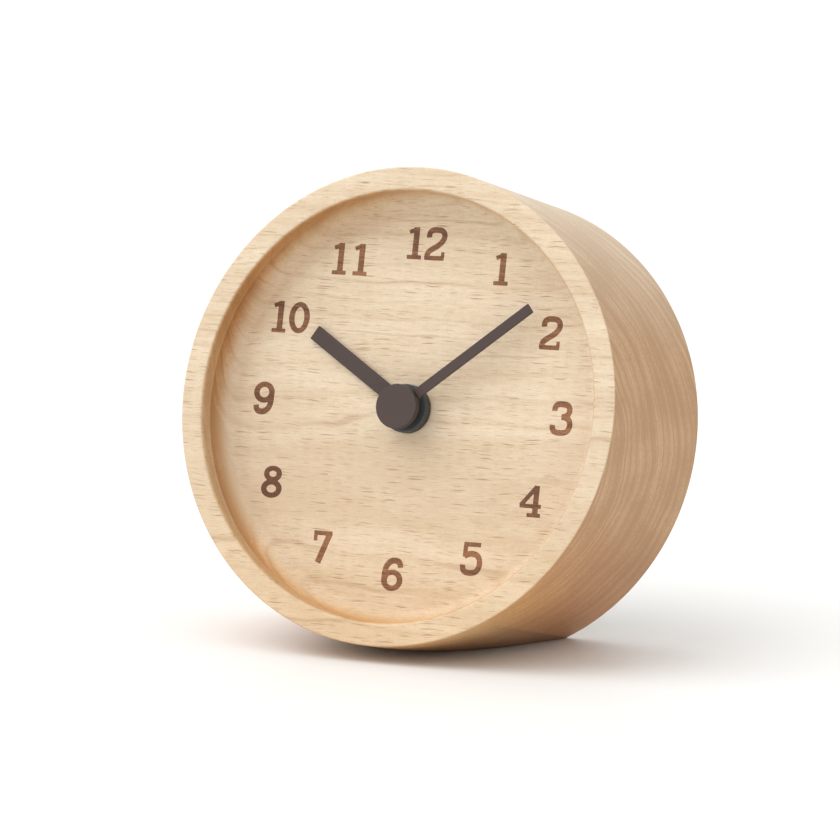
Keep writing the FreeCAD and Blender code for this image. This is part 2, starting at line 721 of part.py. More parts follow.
# Slots where the contact strips pass the wall between cell and tray
strip_front = 19.0
strip_back = 23.0
strip_gap = 0.1
for side in (-1.0, 1.0):
    face = side * inner_half
    inward = side * (inner_half - strip_thick - strip_gap)
    shell = shell.cut(block(min(face, inward), max(face, inward), strip_front - strip_gap, shell_back + 1.0,
                            trough_wall_low - tray_corner_r - strip_gap,
                            trough_wall_high + tray_corner_r + strip_gap))
parts["front_housing"] = shell

# Bush pressed into the shell's floor
bush = joined([
    disc(bush_flange_r, web_back, floor_back),
    disc(bush_r, web_back - bush_reach, web_back + 0.1),
])
parts["shaft_bush"] = bush.cut(disc(bush_bore_r, 0.0, shell_back))

# Bridge over the train
bridge_left = rotor_x - 3.3
bridge_top = 9.8
bridge = soft_block(bridge_left, bridge_right, bridge_level, bridge_back, trough_wall_high + fit_gap,
                    bridge_top, bridge_thick)
for x, z in ((0.0, 0.0), (third_x, third_z), (middle_x, middle_z), (rotor_x, rotor_z)):
    bridge = bridge.cut(disc(pivot_r + run_gap, bridge_level - 1.0, bridge_back + 1.0, x, z))
for x, z in bridge_posts:
    bridge = bridge.cut(disc(bridge_screw_hole_r + end_gap, bridge_level - 1.0, bridge_back + 1.0, x, z))
parts["train_bridge"] = bridge


cross_share = 0.62
cross_half = 0.22
screw_tip_gap = 0.4


def screw(x, z, shank_r, shank_front, seat, head_r, head_thick):
    shank = disc(shank_r, shank_front, seat + end_gap, x, z)
    head = disc(head_r, seat, seat + head_thick, x, z)
    crown_edges = [e for e in head.Edges if abs(e.CenterOfMass.y - seat - head_thick) < 1e-6]
    head = head.makeFillet(0.3 * head_thick, crown_edges)
    slot_front = seat + 0.5 * head_thick
    bar = cross_share * head_r
    wide = block(x - bar, x + bar, slot_front, seat + 2.0 * head_thick, z - cross_half, z + cross_half)
    tall = block(x - cross_half, x + cross_half, slot_front, seat + 2.0 * head_thick, z - bar, z + bar)
    return joined([shank, head]).cut(wide.fuse(tall))


parts["bridge_screws"] = Part.makeCompound([
    screw(x, z, bridge_screw_hole_r, bridge_level - bridge_hole_deep + screw_tip_gap, bridge_back,
          bridge_screw_hole_r + 0.7, 0.8) for x, z in bridge_posts])
parts["movement_screws"] = Part.makeCompound([
    screw(x, z, wood_screw_r, web_back - wood_screw_grip + screw_tip_gap, web_back + ear_thick,
          wood_screw_head_r, wood_screw_head_thick) for x, z in fixings])
parts["lid_screws"] = Part.makeCompound([
    screw(x, z, boss_screw_r, lid_front - boss_hole_deep + screw_tip_gap, shell_back, boss_r - end_gap, 1.0)
    for x, z in lid_bosses])

# Lid over the gear tray
lid = soft_block(-inner_half + fit_gap, inner_half - fit_gap, lid_front, shell_back,
                 trough_wall_high + fit_gap, shell_high - shell_wall - fit_gap, tray_corner_r)
lid = lid.cut(disc(setting_shaft_r + 0.3, lid_front - 1.0, shell_back + 1.0, setting_x, setting_z))
for x, z in lid_bosses:
    lid = lid.cut(disc(boss_screw_r, lid_front - 1.0, shell_back + 1.0, x, z))
for side in (-1.0, 1.0):
    wall_x = side * (inner_half - fit_gap)
    deep_x = side * (inner_half - 0.8)
    lid = lid.cut(block(min(wall_x, deep_x), max(wall_x, deep_x), lid_front - 1.0, shell_back + 1.0,
                        trough_wall_high - 1.0, trough_wall_high + 1.2))
parts["rear_lid"] = lid

# Contact strips and the spring at the cell's flat end
tab_width = 1.2
tab_thick = 0.2
tab_overlap = 0.6
tab_high = board_z_high - 2.0 * tab_overlap
tab_low = tab_high - tab_width
strip_low = cell_z - 4.0
cell_floor_gap = 0.25
cell_depth = floor_back + cell_r + cell_floor_gap


def strip(side, inner_end):
    outer = side * inner_half
    inner = side * (inner_half - strip_thick)
    upright = block(min(outer, inner), max(outer, inner), strip_front, strip_back, strip_low, tab_high)
    tab = block(min(outer, inner_end), max(outer, inner_end), board_back, board_back + tab_thick,
                tab_low, tab_high)
    return joined([upright, tab])


parts["positive_contact"] = strip(1.0, board_x_high - 3.0 * tab_overlap)
parts["negative_contact"] = strip(-1.0, board_x_low + tab_overlap)
spring_left = -inner_half + strip_thick
cell_right = inner_half - strip_thick - cell_side_gap
cell_left = cell_right - cell_cap_length - cell_length
spring_half = 4.6
spring_width = 6.0
spring_bow = cell_left - spring_left - end_gap


def bowed(inset):
    low = FreeCAD.Vector(spring_left, cell_depth - 0.5 * spring_width, cell_z - spring_half + inset)
    high = FreeCAD.Vector(spring_left, cell_depth - 0.5 * spring_width, cell_z + spring_half - inset)
    crown = FreeCAD.Vector(spring_left + spring_bow - inset, cell_depth - 0.5 * spring_width, cell_z)
    return Part.Arc(low, crown, high).toShape(), low, high


outer_bow, outer_low, outer_high = bowed(0.0)
inner_bow, inner_low, inner_high = bowed(strip_thick)
leaf_edges = [outer_bow, Part.makeLine(outer_high, inner_high), inner_bow,
              Part.makeLine(inner_low, outer_low)]
leaf = Part.Face(Part.Wire(Part.sortEdges(leaf_edges)[0]))
parts["negative_spring"] = leaf.extrude(FreeCAD.Vector(0, spring_width, 0))

# Power cell: can and raised end
cell = rod_x(cell_r, cell_left, cell_left + cell_length, cell_depth, cell_z)
cell = cell.makeFillet(0.5, [e for e in cell.Edges if e.Curve.TypeId == "Part::GeomCircle"])
parts["battery_cell"] = cell
cap_tip = rod_x(cell_cap_r, cell_left + cell_length, cell_left + cell_length + cell_cap_length, cell_depth,
                cell_z)
cell_end = cell_left + cell_length + cell_cap_length
cap_tip = cap_tip.makeFillet(0.3, [e for e in cap_tip.Edges if abs(e.CenterOfMass.x - cell_end) < 1e-6])
parts["battery_cap"] = cap_tip

# Lean everything back, lift it so that the flat cut lies on the floor, and centre it on the origin
rim_low = case_r * math.cos(lean)
lift = rim_low + rim_lift
front_reach = (-(case_r - front_edge_round) * math.sin(lean) + front_edge_round * math.cos(lean)
               - front_edge_round)
back_reach = ((case_r - back_edge_round) * math.sin(lean) + (case_depth - back_edge_round) * math.cos(lean)
              + back_edge_round)
shift_y = -0.5 * (front_reach + back_reach)
lean_back = FreeCAD.Placement(FreeCAD.Vector(0, shift_y, lift),
                              FreeCAD.Rotation(FreeCAD.Vector(1, 0, 0), -lean_deg))
floor_cut = Part.makeBox(6.0 * case_r, 6.0 * case_r, 2.0 * case_r,
                         FreeCAD.Vector(-3.0 * case_r, -3.0 * case_r, -2.0 * case_r))
for name, shape in parts.items():
    placed = shape.copy()
    placed.Placement = lean_back.multiply(placed.Placement)
    if name == "wooden_case":
        placed = placed.cut(floor_cut)
    placed.exportStep("parts/" + name + ".step")
print("lift", round(lift, 4), "shift_y", round(shift_y, 4), "pieces", len(parts))
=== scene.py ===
import json
import math

import bmesh
import bpy
from bpy.props import FloatProperty, FloatVectorProperty, IntProperty, PointerProperty
from mathutils import Matrix, Vector


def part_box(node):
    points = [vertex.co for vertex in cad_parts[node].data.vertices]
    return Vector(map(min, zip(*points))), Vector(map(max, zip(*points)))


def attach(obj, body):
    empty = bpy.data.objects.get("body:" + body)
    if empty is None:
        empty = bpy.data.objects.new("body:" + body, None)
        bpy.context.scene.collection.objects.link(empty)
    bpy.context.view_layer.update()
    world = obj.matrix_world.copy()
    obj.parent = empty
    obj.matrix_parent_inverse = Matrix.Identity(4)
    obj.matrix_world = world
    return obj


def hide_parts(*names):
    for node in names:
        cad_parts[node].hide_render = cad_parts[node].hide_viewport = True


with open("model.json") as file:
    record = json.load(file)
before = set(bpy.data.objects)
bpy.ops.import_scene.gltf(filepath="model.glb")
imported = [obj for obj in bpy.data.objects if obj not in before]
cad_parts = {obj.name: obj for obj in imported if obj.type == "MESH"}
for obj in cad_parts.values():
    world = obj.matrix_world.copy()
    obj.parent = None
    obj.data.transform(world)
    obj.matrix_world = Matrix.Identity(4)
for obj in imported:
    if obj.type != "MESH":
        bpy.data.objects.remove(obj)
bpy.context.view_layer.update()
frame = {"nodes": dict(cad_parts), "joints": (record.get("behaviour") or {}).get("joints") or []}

bl_info = {
    "name": "Turned beech desk clock",
    "version": (1, 0, 0),
    "blender": (4, 5, 0),
    "location": "3D View > Sidebar > Clock",
    "description": "Dresses a small turned beech desk clock around its packed frame",
    "category": "Add Mesh",
}

MM = 0.001
BODY = "clock_body"
HOUR_GROUP = "hour_group"
MINUTE_GROUP = "minute_group"
LACQUER = "Matt hand lacquer"
# The case's own attribute: how open its end grain is, from 0 on the face to 1 at the two sides. Its brown
# also stands in partly for the shade on the block's sides, and the lower part of the outside is given a share
# of it as painted shade
END_GRAIN_AND_SHADE = "end_grain_and_shade"

# The clock's own frame: X right, Y back into the clock, Z up the dial, zero at the centre of the rim
ARBOR_POINT_DEPTH = 16.0 * MM
arbor_joint = next(joint for joint in frame["joints"] if joint["name"] == "minute_turn")
ARBOR_AXIS = Vector(arbor_joint["axis"]).normalized()
RIM_CENTRE = Vector(arbor_joint["pos_m"]) - ARBOR_POINT_DEPTH * ARBOR_AXIS
LEAN = math.atan2(-ARBOR_AXIS.z, ARBOR_AXIS.y)
CLOCK_FRAME = Matrix.Translation(RIM_CENTRE) @ Matrix.Rotation(-LEAN, 4, "X")


# A display colour as the linear values that shaders use
def linear(hex_colour):
    channels = [int(hex_colour[i:i + 2], 16) / 255.0 for i in (0, 2, 4)]
    return tuple(c / 12.92 if c <= 0.04045 else ((c + 0.055) / 1.055) ** 2.4 for c in channels)


def length(name, description, millimetres):
    return FloatProperty(name=name, description=description, default=millimetres * MM, min=0.0,
                         unit="LENGTH", precision=5)


def degrees(name, description, value):
    return FloatProperty(name=name, description=description, default=math.radians(value), unit="ROTATION")


def colour(name, description, hex_colour):
    return FloatVectorProperty(name=name, description=description, default=linear(hex_colour), size=3,
                               min=0.0, max=1.0, subtype="COLOR")


class ClockSizes(bpy.types.PropertyGroup):
    case_radius: length("Case radius", "Outer radius of the turned block", 54.0)
    case_depth: length("Case depth", "Depth of the block from rim to back", 48.3)
    recess_radius: length("Recess radius", "Radius of the recess in front of the dial", 48.6)
    dial_depth: length("Dial depth", "How far the dial lies behind the rim", 8.2)
    web_thickness: length("Web thickness", "Wood left between dial and rear pocket", 5.2)
    pocket_radius: length("Pocket radius", "Radius of the rear pocket", 41.0)
    bush_hole: length("Bush hole", "Radius of the hole for the movement's bush", 4.15)
    front_round: length("Front rounding", "Rounding of the outer front edge", 0.4)
    back_round: length("Back rounding", "Rounding of the outer back edge", 1.0)
    rim_round: length("Rim rounding", "Rounding of the rim's inner edge", 0.8)
    cove: length("Cove", "Radius of the cove between recess wall and dial", 4.4)
    pocket_round: length("Pocket rounding", "Rounding at the bottom of the pocket", 2.0)
    mouth_chamfer: length("Mouth chamfer", "Chamfer at the mouth of the pocket", 1.2)
    turning_steps: IntProperty(name="Turning steps", description="Steps round the turned block", default=288)
    ring_radius: length("Numeral ring", "Radius of the ring of numerals", 37.6)
    ring_rise: length("Numeral rise", "How far the numerals sit above their ring", 0.2)
    stroke: length("Stroke", "Width of a numeral's stroke", 1.35)
    cap_radius: length("Cap radius", "Radius of the cap over the arbor", 5.05)
    hub_radius: length("Hub radius", "Radius of the hour hub", 5.5)
    hub_round: length("Hub rounding", "Rounding of the hub's front edges", 0.25)
    cap_front: length("Cap front", "Depth of the cap's front face", 1.2)
    cap_back: length("Cap back", "Depth of the cap's back face", 2.9)
    minute_thickness: length("Minute hand thickness", "Thickness of the minute blade", 0.6)
    minute_width: length("Minute hand width", "Width of the minute blade", 2.3)
    minute_reach: length("Minute hand reach", "Length of the minute blade from the arbor", 38.2)
    minute_angle: degrees("Minute hand angle", "Clockwise from twelve", 51.3)
    hour_front: length("Hour hub front", "Depth of the hour hub's front face", 5.4)
    hour_blade_front: length("Hour blade front", "Depth of the hour blade's front face", 7.1)
    hour_thickness: length("Hour hand thickness", "Thickness of the hour blade", 0.7)
    hour_width: length("Hour hand width", "Width of the hour blade", 3.5)
    hour_reach: length("Hour hand reach", "Length of the hour blade from the arbor", 30.1)
    hour_angle: degrees("Hour hand angle", "Clockwise from twelve", 302.3)
    hand_bevel: length("Hand bevel", "Broken edge of a stamped hand", 0.06)
    minute_bore: length("Minute hand bore", "Radius of the hole in the minute hand's plate", 1.6)
    hour_bore: length("Hour hand bore", "Radius of the hole in the hour hand's plate", 3.2)
    hub_bore: length("Hub bore", "Radius of the hole in the hour hub", 2.5)
    blade_inset: length("Blade inset", "Gap between a plate's hole and its blade", 0.3)


class ClockColours(bpy.types.PropertyGroup):
    beech_light: colour("Beech, light", "Steamed beech between the flecks", "E4D3BA")
    beech_warm: colour("Beech, warm", "Beech in the darker bands", "CCB495")
    fleck: colour("Ray flecks", "Short rays that show as dark dashes", "8F6538")
    # The end grain's colours: oiled end grain, darkened in part as painted shade for the block's shaded sides
    end_light: colour("End grain, light", "Oiled end grain between the rings", "D6AF83")
    end_warm: colour("End grain, dark", "Oiled end grain in the rings", "B58A5F")
    burnt: colour("Burnt numerals", "Laser-burnt beech", "AE784C")
    burnt_dark: colour("Burnt numerals, dark", "Burnt beech where the grain is dense", "603820")
    hand: colour("Hands", "Matt lacquer on the hands", "453733")
    hub: colour("Hour hub", "Blackened steel of the hour hub", "4A4F52")
    black: colour("Movement plastic", "Moulded shell of the movement", "1B1B1D")
    white: colour("Acetal", "Moulded gear plastic", "E9E7DF")
    floor: colour("Floor", "Plain pale floor", "E9E9E7")


# Helpers that build and place a piece

def finish_mesh(bm, name, material, body, replaces=(), place=CLOCK_FRAME):
    bm.transform(place)
    bmesh.ops.recalc_face_normals(bm, faces=bm.faces)
    mesh = bpy.data.meshes.new(name)
    bm.to_mesh(mesh)
    bm.free()
    return finish_piece(mesh, name, material, body, replaces)


def finish_piece(mesh, name, material, body, replaces=()):
    for face in mesh.polygons:
        face.use_smooth = True
    piece = bpy.data.objects.new(name, mesh)
    bpy.context.scene.collection.objects.link(piece)
    mesh.materials.append(material)
    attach(piece, body)
    if replaces:
        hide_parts(*replaces)
    return piece


def level_normals(piece):
    normals = piece.modifiers.new("Even normals", "WEIGHTED_NORMAL")
    normals.weight = 100
    normals.keep_sharp = True


# A turned piece starts as a closed line in its own half plane: radius across, depth back
def closed_profile(bm, corners):
    verts = [bm.verts.new((radius, depth, 0.0)) for radius, depth in corners]
    for first, second in zip(verts, verts[1:] + verts[:1]):
        bm.edges.new((first, second))
    return verts


def round_corner(bm, vert, radius, segments):
    bmesh.ops.bevel(bm, geom=[vert], offset=radius, offset_type="OFFSET", segments=segments, profile=0.5,
                    affect="VERTICES", material=-1)


def turn(bm, steps):
    bmesh.ops.spin(bm, geom=bm.verts[:] + bm.edges[:], cent=(0, 0, 0), axis=(0, 1, 0), angle=2.0 * math.pi,
                   steps=steps, use_merge=True, use_duplicate=False)
    bmesh.ops.remove_doubles(bm, verts=bm.verts, dist=0.001 * MM)


def turned_disc(radius, bore, front, back, edge_round, steps=96):
    bm = bmesh.new()
    corners = [(bore, front), (radius, front), (radius, back), (bore, back)]
    verts = closed_profile(bm, corners)
    round_corner(bm, verts[1], edge_round, 4)
    turn(bm, steps)
    return bm


# Helpers that build a material's nodes

def add_node(tree, kind, inputs=None, **settings):
    made = tree.nodes.new(kind)
    for name, value in settings.items():
        setattr(made, name, value)
    for socket, value in (inputs or {}).items():
        if isinstance(value, bpy.types.NodeSocket):
            tree.links.new(value, made.inputs[socket])
        else:
            made.inputs[socket].default_value = value
    return made


def new_material(name):
    material = bpy.data.materials.new(name)
    material.use_nodes = True
    tree = material.node_tree
    tree.nodes.clear()
    return material, tree


def with_alpha(rgb):
    return (rgb[0], rgb[1], rgb[2], 1.0)


# The clock's own frame in millimetres, from Object coordinates
def clock_millimetres(tree):
    coordinates = add_node(tree, "ShaderNodeTexCoord")
    offset = Matrix.Rotation(LEAN, 3, "X") @ RIM_CENTRE / MM
    mapping = add_node(tree, "ShaderNodeMapping", {
        "Vector": coordinates.outputs["Object"],
        "Location": -offset,
        "Rotation": (LEAN, 0.0, 0.0),
        "Scale": (1.0 / MM, 1.0 / MM, 1.0 / MM),
    }, vector_type="POINT")
    return mapping.outputs["Vector"]


# Coordinates whose unit is a grain of the given size, in the units of the vector
def stretched(tree, vector, across, deep, high):
    scale = (1.0 / across, 1.0 / deep, 1.0 / high)
    return add_node(tree, "ShaderNodeMapping", {"Vector": vector, "Scale": scale}).outputs[0]


def shade(tree, low_colour, high_colour, factor, blend="MIX"):
    mix = add_node(tree, "ShaderNodeMix", {0: factor, 6: low_colour, 7: high_colour}, data_type="RGBA",
                   blend_type=blend)
    return mix.outputs[2]


def ramp(tree, factor, low, high, to_low=0.0, to_high=1.0):
    made = add_node(tree, "ShaderNodeMapRange", {0: factor, 1: low, 2: high, 3: to_low, 4: to_high},
                    interpolation_type="SMOOTHSTEP")
    return made.outputs[0]


def calculate(tree, operation, first, second=0.5, third=0.5):
    return add_node(tree, "ShaderNodeMath", {0: first, 1: second, 2: third}, operation=operation).outputs[0]


# Steamed beech, flat sawn, turned and sanded, clear matt oil. The grain runs left to right and the rings lie
# round a pith in front of the dial, so the face shows short dark ray dashes and faint wandering growth lines.
# The end grain at the two sides drinks the oil, so it is browner and shows the rings as close fine lines.
# That brown is partly painted shade for the block's shaded sides, and it is laid on the lower part of the
# outside as painted shade.
def beech(name, light, warm, fleck, end_light, end_warm, fleck_strength=1.0, fibre_strength=1.0):
    sizes = bpy.context.scene.clock_sizes
    recess = sizes.recess_radius / MM
    dial = sizes.dial_depth / MM
    material, tree = new_material(name)
    place = clock_millimetres(tree)
    parts = add_node(tree, "ShaderNodeSeparateXYZ", {0: place})
    depth = parts.outputs["Y"]
    height = parts.outputs["Z"]
    end_grain_and_shade = add_node(tree, "ShaderNodeAttribute", attribute_name=END_GRAIN_AND_SHADE).outputs["Fac"]

    # Growth rings, 2 to 3 mm apart, bent by slow noise along the grain
    pith = add_node(tree, "ShaderNodeMapping", {"Vector": place, "Location": (0.0, 33.0, 20.0),
                                                "Scale": (0.0, 1.0, 1.0)})
    radius = add_node(tree, "ShaderNodeVectorMath", {0: pith.outputs[0]}, operation="LENGTH").outputs["Value"]
    bend = add_node(tree, "ShaderNodeTexNoise", {"Vector": stretched(tree, place, 55.0, 24.0, 24.0),
                                                 "Scale": 1.0, "Detail": 3.0, "Roughness": 0.5})
    bent = calculate(tree, "MULTIPLY_ADD", bend.outputs["Fac"], 7.0, radius)
    ring_place = add_node(tree, "ShaderNodeCombineXYZ", {0: bent})
    ring_tone = add_node(tree, "ShaderNodeTexNoise", {"Vector": ring_place.outputs[0], "Scale": 0.30,
                                                      "Detail": 3.5, "Roughness": 0.7})
    ring_wave = add_node(tree, "ShaderNodeTexWave", {"Vector": ring_place.outputs[0], "Scale": 0.115,
                                                     "Distortion": 2.4, "Detail": 2.0, "Detail Scale": 0.5},
                         wave_type="BANDS", bands_direction="X", wave_profile="SIN")
    late_wood = ramp(tree, ring_wave.outputs["Fac"], 0.86, 1.0)
    rings = calculate(tree, "MULTIPLY_ADD", late_wood, 0.55, ramp(tree, ring_tone.outputs["Fac"], 0.36, 0.66))
    ring_depth = ramp(tree, end_grain_and_shade, 0.1, 0.9, 0.34, 0.74)
    rings = calculate(tree, "MULTIPLY", rings, ring_depth)

    # Fibres: streaks 0.24 mm wide and 6 mm long. Pores: specks 0.2 mm wide and 0.7 mm long, which the end
    # grain shows end on. Mottle: soft patches 1 to 3 mm across
    fibres = add_node(tree, "ShaderNodeTexNoise", {"Vector": stretched(tree, place, 6.0, 0.6, 0.24),
                                                   "Scale": 1.0, "Detail": 3.0, "Roughness": 0.65})
    pores = add_node(tree, "ShaderNodeTexNoise", {"Vector": stretched(tree, place, 0.7, 0.2, 0.17),
                                                  "Scale": 1.0, "Detail": 2.0, "Roughness": 0.7})
    mottle = add_node(tree, "ShaderNodeTexNoise", {"Vector": stretched(tree, place, 2.6, 1.2, 0.9),
                                                   "Scale": 1.0, "Detail": 3.0, "Roughness": 0.6})

    # Rays: thin dark dashes 2 to 5 mm along the grain, in two sizes, gone on the end grain
    along = calculate(tree, "SUBTRACT", 1.0, ramp(tree, end_grain_and_shade, 0.05, 0.5))
    long_rays = rays(tree, place, 5.6, 0.5, 0.31, 0.66, (0.8, 0.0, 4.6))
    short_rays = rays(tree, place, 3.0, 0.4, 0.25, 0.60, (0.5, 0.0, 3.4))
    ray = calculate(tree, "MAXIMUM", long_rays, calculate(tree, "MULTIPLY", short_rays, 0.6))

    # Growth lines: a few rings end in a thin brown line that comes and goes along the face
    reach = add_node(tree, "ShaderNodeTexNoise", {"Vector": stretched(tree, place, 26.0, 20.0, 5.0),
                                                  "Scale": 1.0, "Detail": 1.0})
    line = calculate(tree, "MULTIPLY", ramp(tree, ring_wave.outputs["Fac"], 0.93, 1.0),
                     ramp(tree, reach.outputs["Fac"], 0.48, 0.66, 0.0, 0.32))
    ray = calculate(tree, "MAXIMUM", ray, line)
    ray = calculate(tree, "MULTIPLY", calculate(tree, "MULTIPLY", ray, along), 0.70 * fleck_strength)

    # Slow colour change across the block, added to the rings, streaks, patches and specks
    cloud = add_node(tree, "ShaderNodeTexNoise", {"Vector": stretched(tree, place, 48.0, 22.0, 12.0),
                                                  "Scale": 1.0, "Detail": 2.0, "Roughness": 0.5})
    slow = ramp(tree, cloud.outputs["Fac"], 0.3, 0.75, 0.0, 0.45)
    streak = ramp(tree, fibres.outputs["Fac"], 0.3, 0.75, 0.0, 0.30 * fibre_strength)
    speckle = ramp(tree, pores.outputs["Fac"], 0.45, 0.78, 0.0, 0.50 * fibre_strength)
    patch = ramp(tree, mottle.outputs["Fac"], 0.35, 0.7, 0.0, 0.20)
    tone = calculate(tree, "ADD", calculate(tree, "ADD", rings, slow), calculate(tree, "ADD", streak, patch))
    tone = calculate(tree, "ADD", tone, speckle)
    face_wood = shade(tree, with_alpha(light), with_alpha(warm), tone)
    end_wood_and_shade = shade(tree, with_alpha(end_light), with_alpha(end_warm), tone)

    # Painted light: the end grain's brown is weaker towards the top of the block, where more light falls on
    # the sides
    painted_top_light = ramp(tree, height, 8.0, 46.0, 1.0, 0.6)
    browned_and_shaded = calculate(tree, "MULTIPLY", painted_top_light, ramp(tree, end_grain_and_shade, 0.35, 1.0))
    wood = shade(tree, face_wood, end_wood_and_shade, browned_and_shaded)

    # Painted shade, with a warm cast of light bounced from below: browner towards the foot of the block, most
    # of all where the end grain is open. Towards the front of the block the foot's painted shade is more
    # golden
    painted_foot_shade = ramp(tree, height, -12.0, -58.0)
    foot_front = ramp(tree, depth, 30.0, 0.0)
    wood = shade(tree, wood, with_alpha(linear("FCF2E4")), painted_foot_shade, "MULTIPLY")
    painted_open_foot_shade = calculate(tree, "MULTIPLY", painted_foot_shade, ramp(tree, end_grain_and_shade, 0.15, 0.7))
    foot_shade_tint = shade(tree, with_alpha(linear("EAB47C")), with_alpha(linear("FFDA9A")), foot_front)
    wood = shade(tree, wood, foot_shade_tint, painted_open_foot_shade, "MULTIPLY")

    # Painted shade in the recess at the upper left, the side away from the light: the wall is browner there,
    # fading over the dial's edge
    outwards = add_node(tree, "ShaderNodeVectorMath", {0: place, 1: (1.0, 0.0, 1.0)}, operation="MULTIPLY")
    axis_length = add_node(tree, "ShaderNodeVectorMath", {0: outwards.outputs[0]}, operation="LENGTH")
    from_axis = axis_length.outputs["Value"]
    direction = add_node(tree, "ShaderNodeVectorMath", {0: outwards.outputs[0]}, operation="NORMALIZE")
    toward = add_node(tree, "ShaderNodeVectorMath", {0: direction.outputs[0], 1: (-0.71, 0.0, 0.71)},
                      operation="DOT_PRODUCT").outputs["Value"]
    reached = ramp(tree, from_axis, recess - 10.6, recess - 0.6)
    painted_recess_shade = calculate(tree, "MULTIPLY", reached, ramp(tree, from_axis, recess + 0.6, recess - 0.1))
    painted_recess_shade = calculate(tree, "MULTIPLY", painted_recess_shade, ramp(tree, depth, dial + 3.8, dial + 1.8))
    painted_recess_shade = calculate(tree, "MULTIPLY", painted_recess_shade, ramp(tree, toward, 0.55, 1.0))
    painted_recess_shade = calculate(tree, "MULTIPLY", painted_recess_shade, ramp(tree, depth, dial, 2.0, 0.42, 1.0))
    wood = shade(tree, wood, with_alpha(linear("E2C299")), painted_recess_shade, "MULTIPLY")

    # A thinner line of painted shade, warm as light bounced off the wood, all round the top of the recess's
    # wall
    wall = ramp(tree, from_axis, recess - 1.6, recess - 0.2)
    painted_wall_shade = calculate(tree, "MULTIPLY", wall, ramp(tree, from_axis, recess + 0.6, recess + 0.1))
    painted_wall_shade = calculate(tree, "MULTIPLY", painted_wall_shade, ramp(tree, depth, dial, 1.5, 0.0, 0.6))
    wood = shade(tree, wood, with_alpha(linear("E8C898")), painted_wall_shade, "MULTIPLY")
    wood = shade(tree, wood, with_alpha(fleck), ray)

    # The sanded skin: fibres stand up and rays lie a little lower
    sunk = calculate(tree, "MULTIPLY", ray, -0.8)
    relief = calculate(tree, "MULTIPLY_ADD", fibres.outputs["Fac"], 0.5, sunk)
    bump = add_node(tree, "ShaderNodeBump", {"Strength": 0.16, "Distance": 0.03 * MM, "Height": relief})
    roughness = ramp(tree, fibres.outputs["Fac"], 0.3, 0.7, 0.44, 0.54)
    shader = add_node(tree, "ShaderNodeBsdfPrincipled", {"Base Color": wood, "Roughness": roughness,
                                                         "IOR": 1.46, "Normal": bump.outputs[0]})
    add_node(tree, "ShaderNodeOutputMaterial", {"Surface": shader.outputs[0]})
    return material


# One family of rays: cells as long, deep and high as given in millimetres. A cell holds a ray where its
# random value lies above the threshold, and wander bends the rows of cells
def rays(tree, place, along, deep, high, threshold, wander):
    cells = stretched(tree, place, along, deep, high)
    wobble = add_node(tree, "ShaderNodeTexNoise", {"Vector": stretched(tree, place, 9.0, 9.0, 5.0),
                                                   "Scale": 1.0, "Detail": 2.0})
    pushed = add_node(tree, "ShaderNodeVectorMath", {0: wobble.outputs["Color"], 1: wander},
                      operation="MULTIPLY")
    moved = add_node(tree, "ShaderNodeVectorMath", {0: cells, 1: pushed.outputs[0]}, operation="ADD")
    spots = add_node(tree, "ShaderNodeTexVoronoi", {"Vector": moved.outputs[0], "Scale": 1.0,
                                                    "Randomness": 1.0}, feature="F1")
    chosen = add_node(tree, "ShaderNodeSeparateColor", {0: spots.outputs["Color"]})
    here = ramp(tree, chosen.outputs[0], threshold, 1.0)
    body = ramp(tree, spots.outputs["Distance"], 0.50, 0.16)
    return calculate(tree, "MULTIPLY", here, body)


# Moulded or painted surfaces: one colour with a slow drift and a fine skin
def skinned(name, rgb, roughness, grain, depth, drift=0.12, metallic=0.0, ior=1.45, coat=0.0):
    material, tree = new_material(name)
    place = clock_millimetres(tree)
    slow = add_node(tree, "ShaderNodeTexNoise", {"Vector": place, "Scale": 0.12, "Detail": 2.0})
    fine = add_node(tree, "ShaderNodeTexNoise", {"Vector": place, "Scale": 1.0 / grain, "Detail": 2.0})
    darker = tuple(c * (1.0 - drift) for c in rgb)
    lighter = tuple(min(1.0, c * (1.0 + drift)) for c in rgb)
    base = shade(tree, with_alpha(darker), with_alpha(lighter), slow.outputs["Fac"])
    rough = ramp(tree, fine.outputs["Fac"], 0.3, 0.7, roughness - 0.06, roughness + 0.06)
    bump = add_node(tree, "ShaderNodeBump", {"Strength": 0.35, "Distance": depth * MM,
                                             "Height": fine.outputs["Fac"]})
    values = {"Base Color": base, "Roughness": rough, "Metallic": metallic, "Normal": bump.outputs[0],
              "Coat Weight": coat}
    if metallic < 0.5:
        values["IOR"] = ior
    shader = add_node(tree, "ShaderNodeBsdfPrincipled", values)
    add_node(tree, "ShaderNodeOutputMaterial", {"Surface": shader.outputs[0]})
    return material


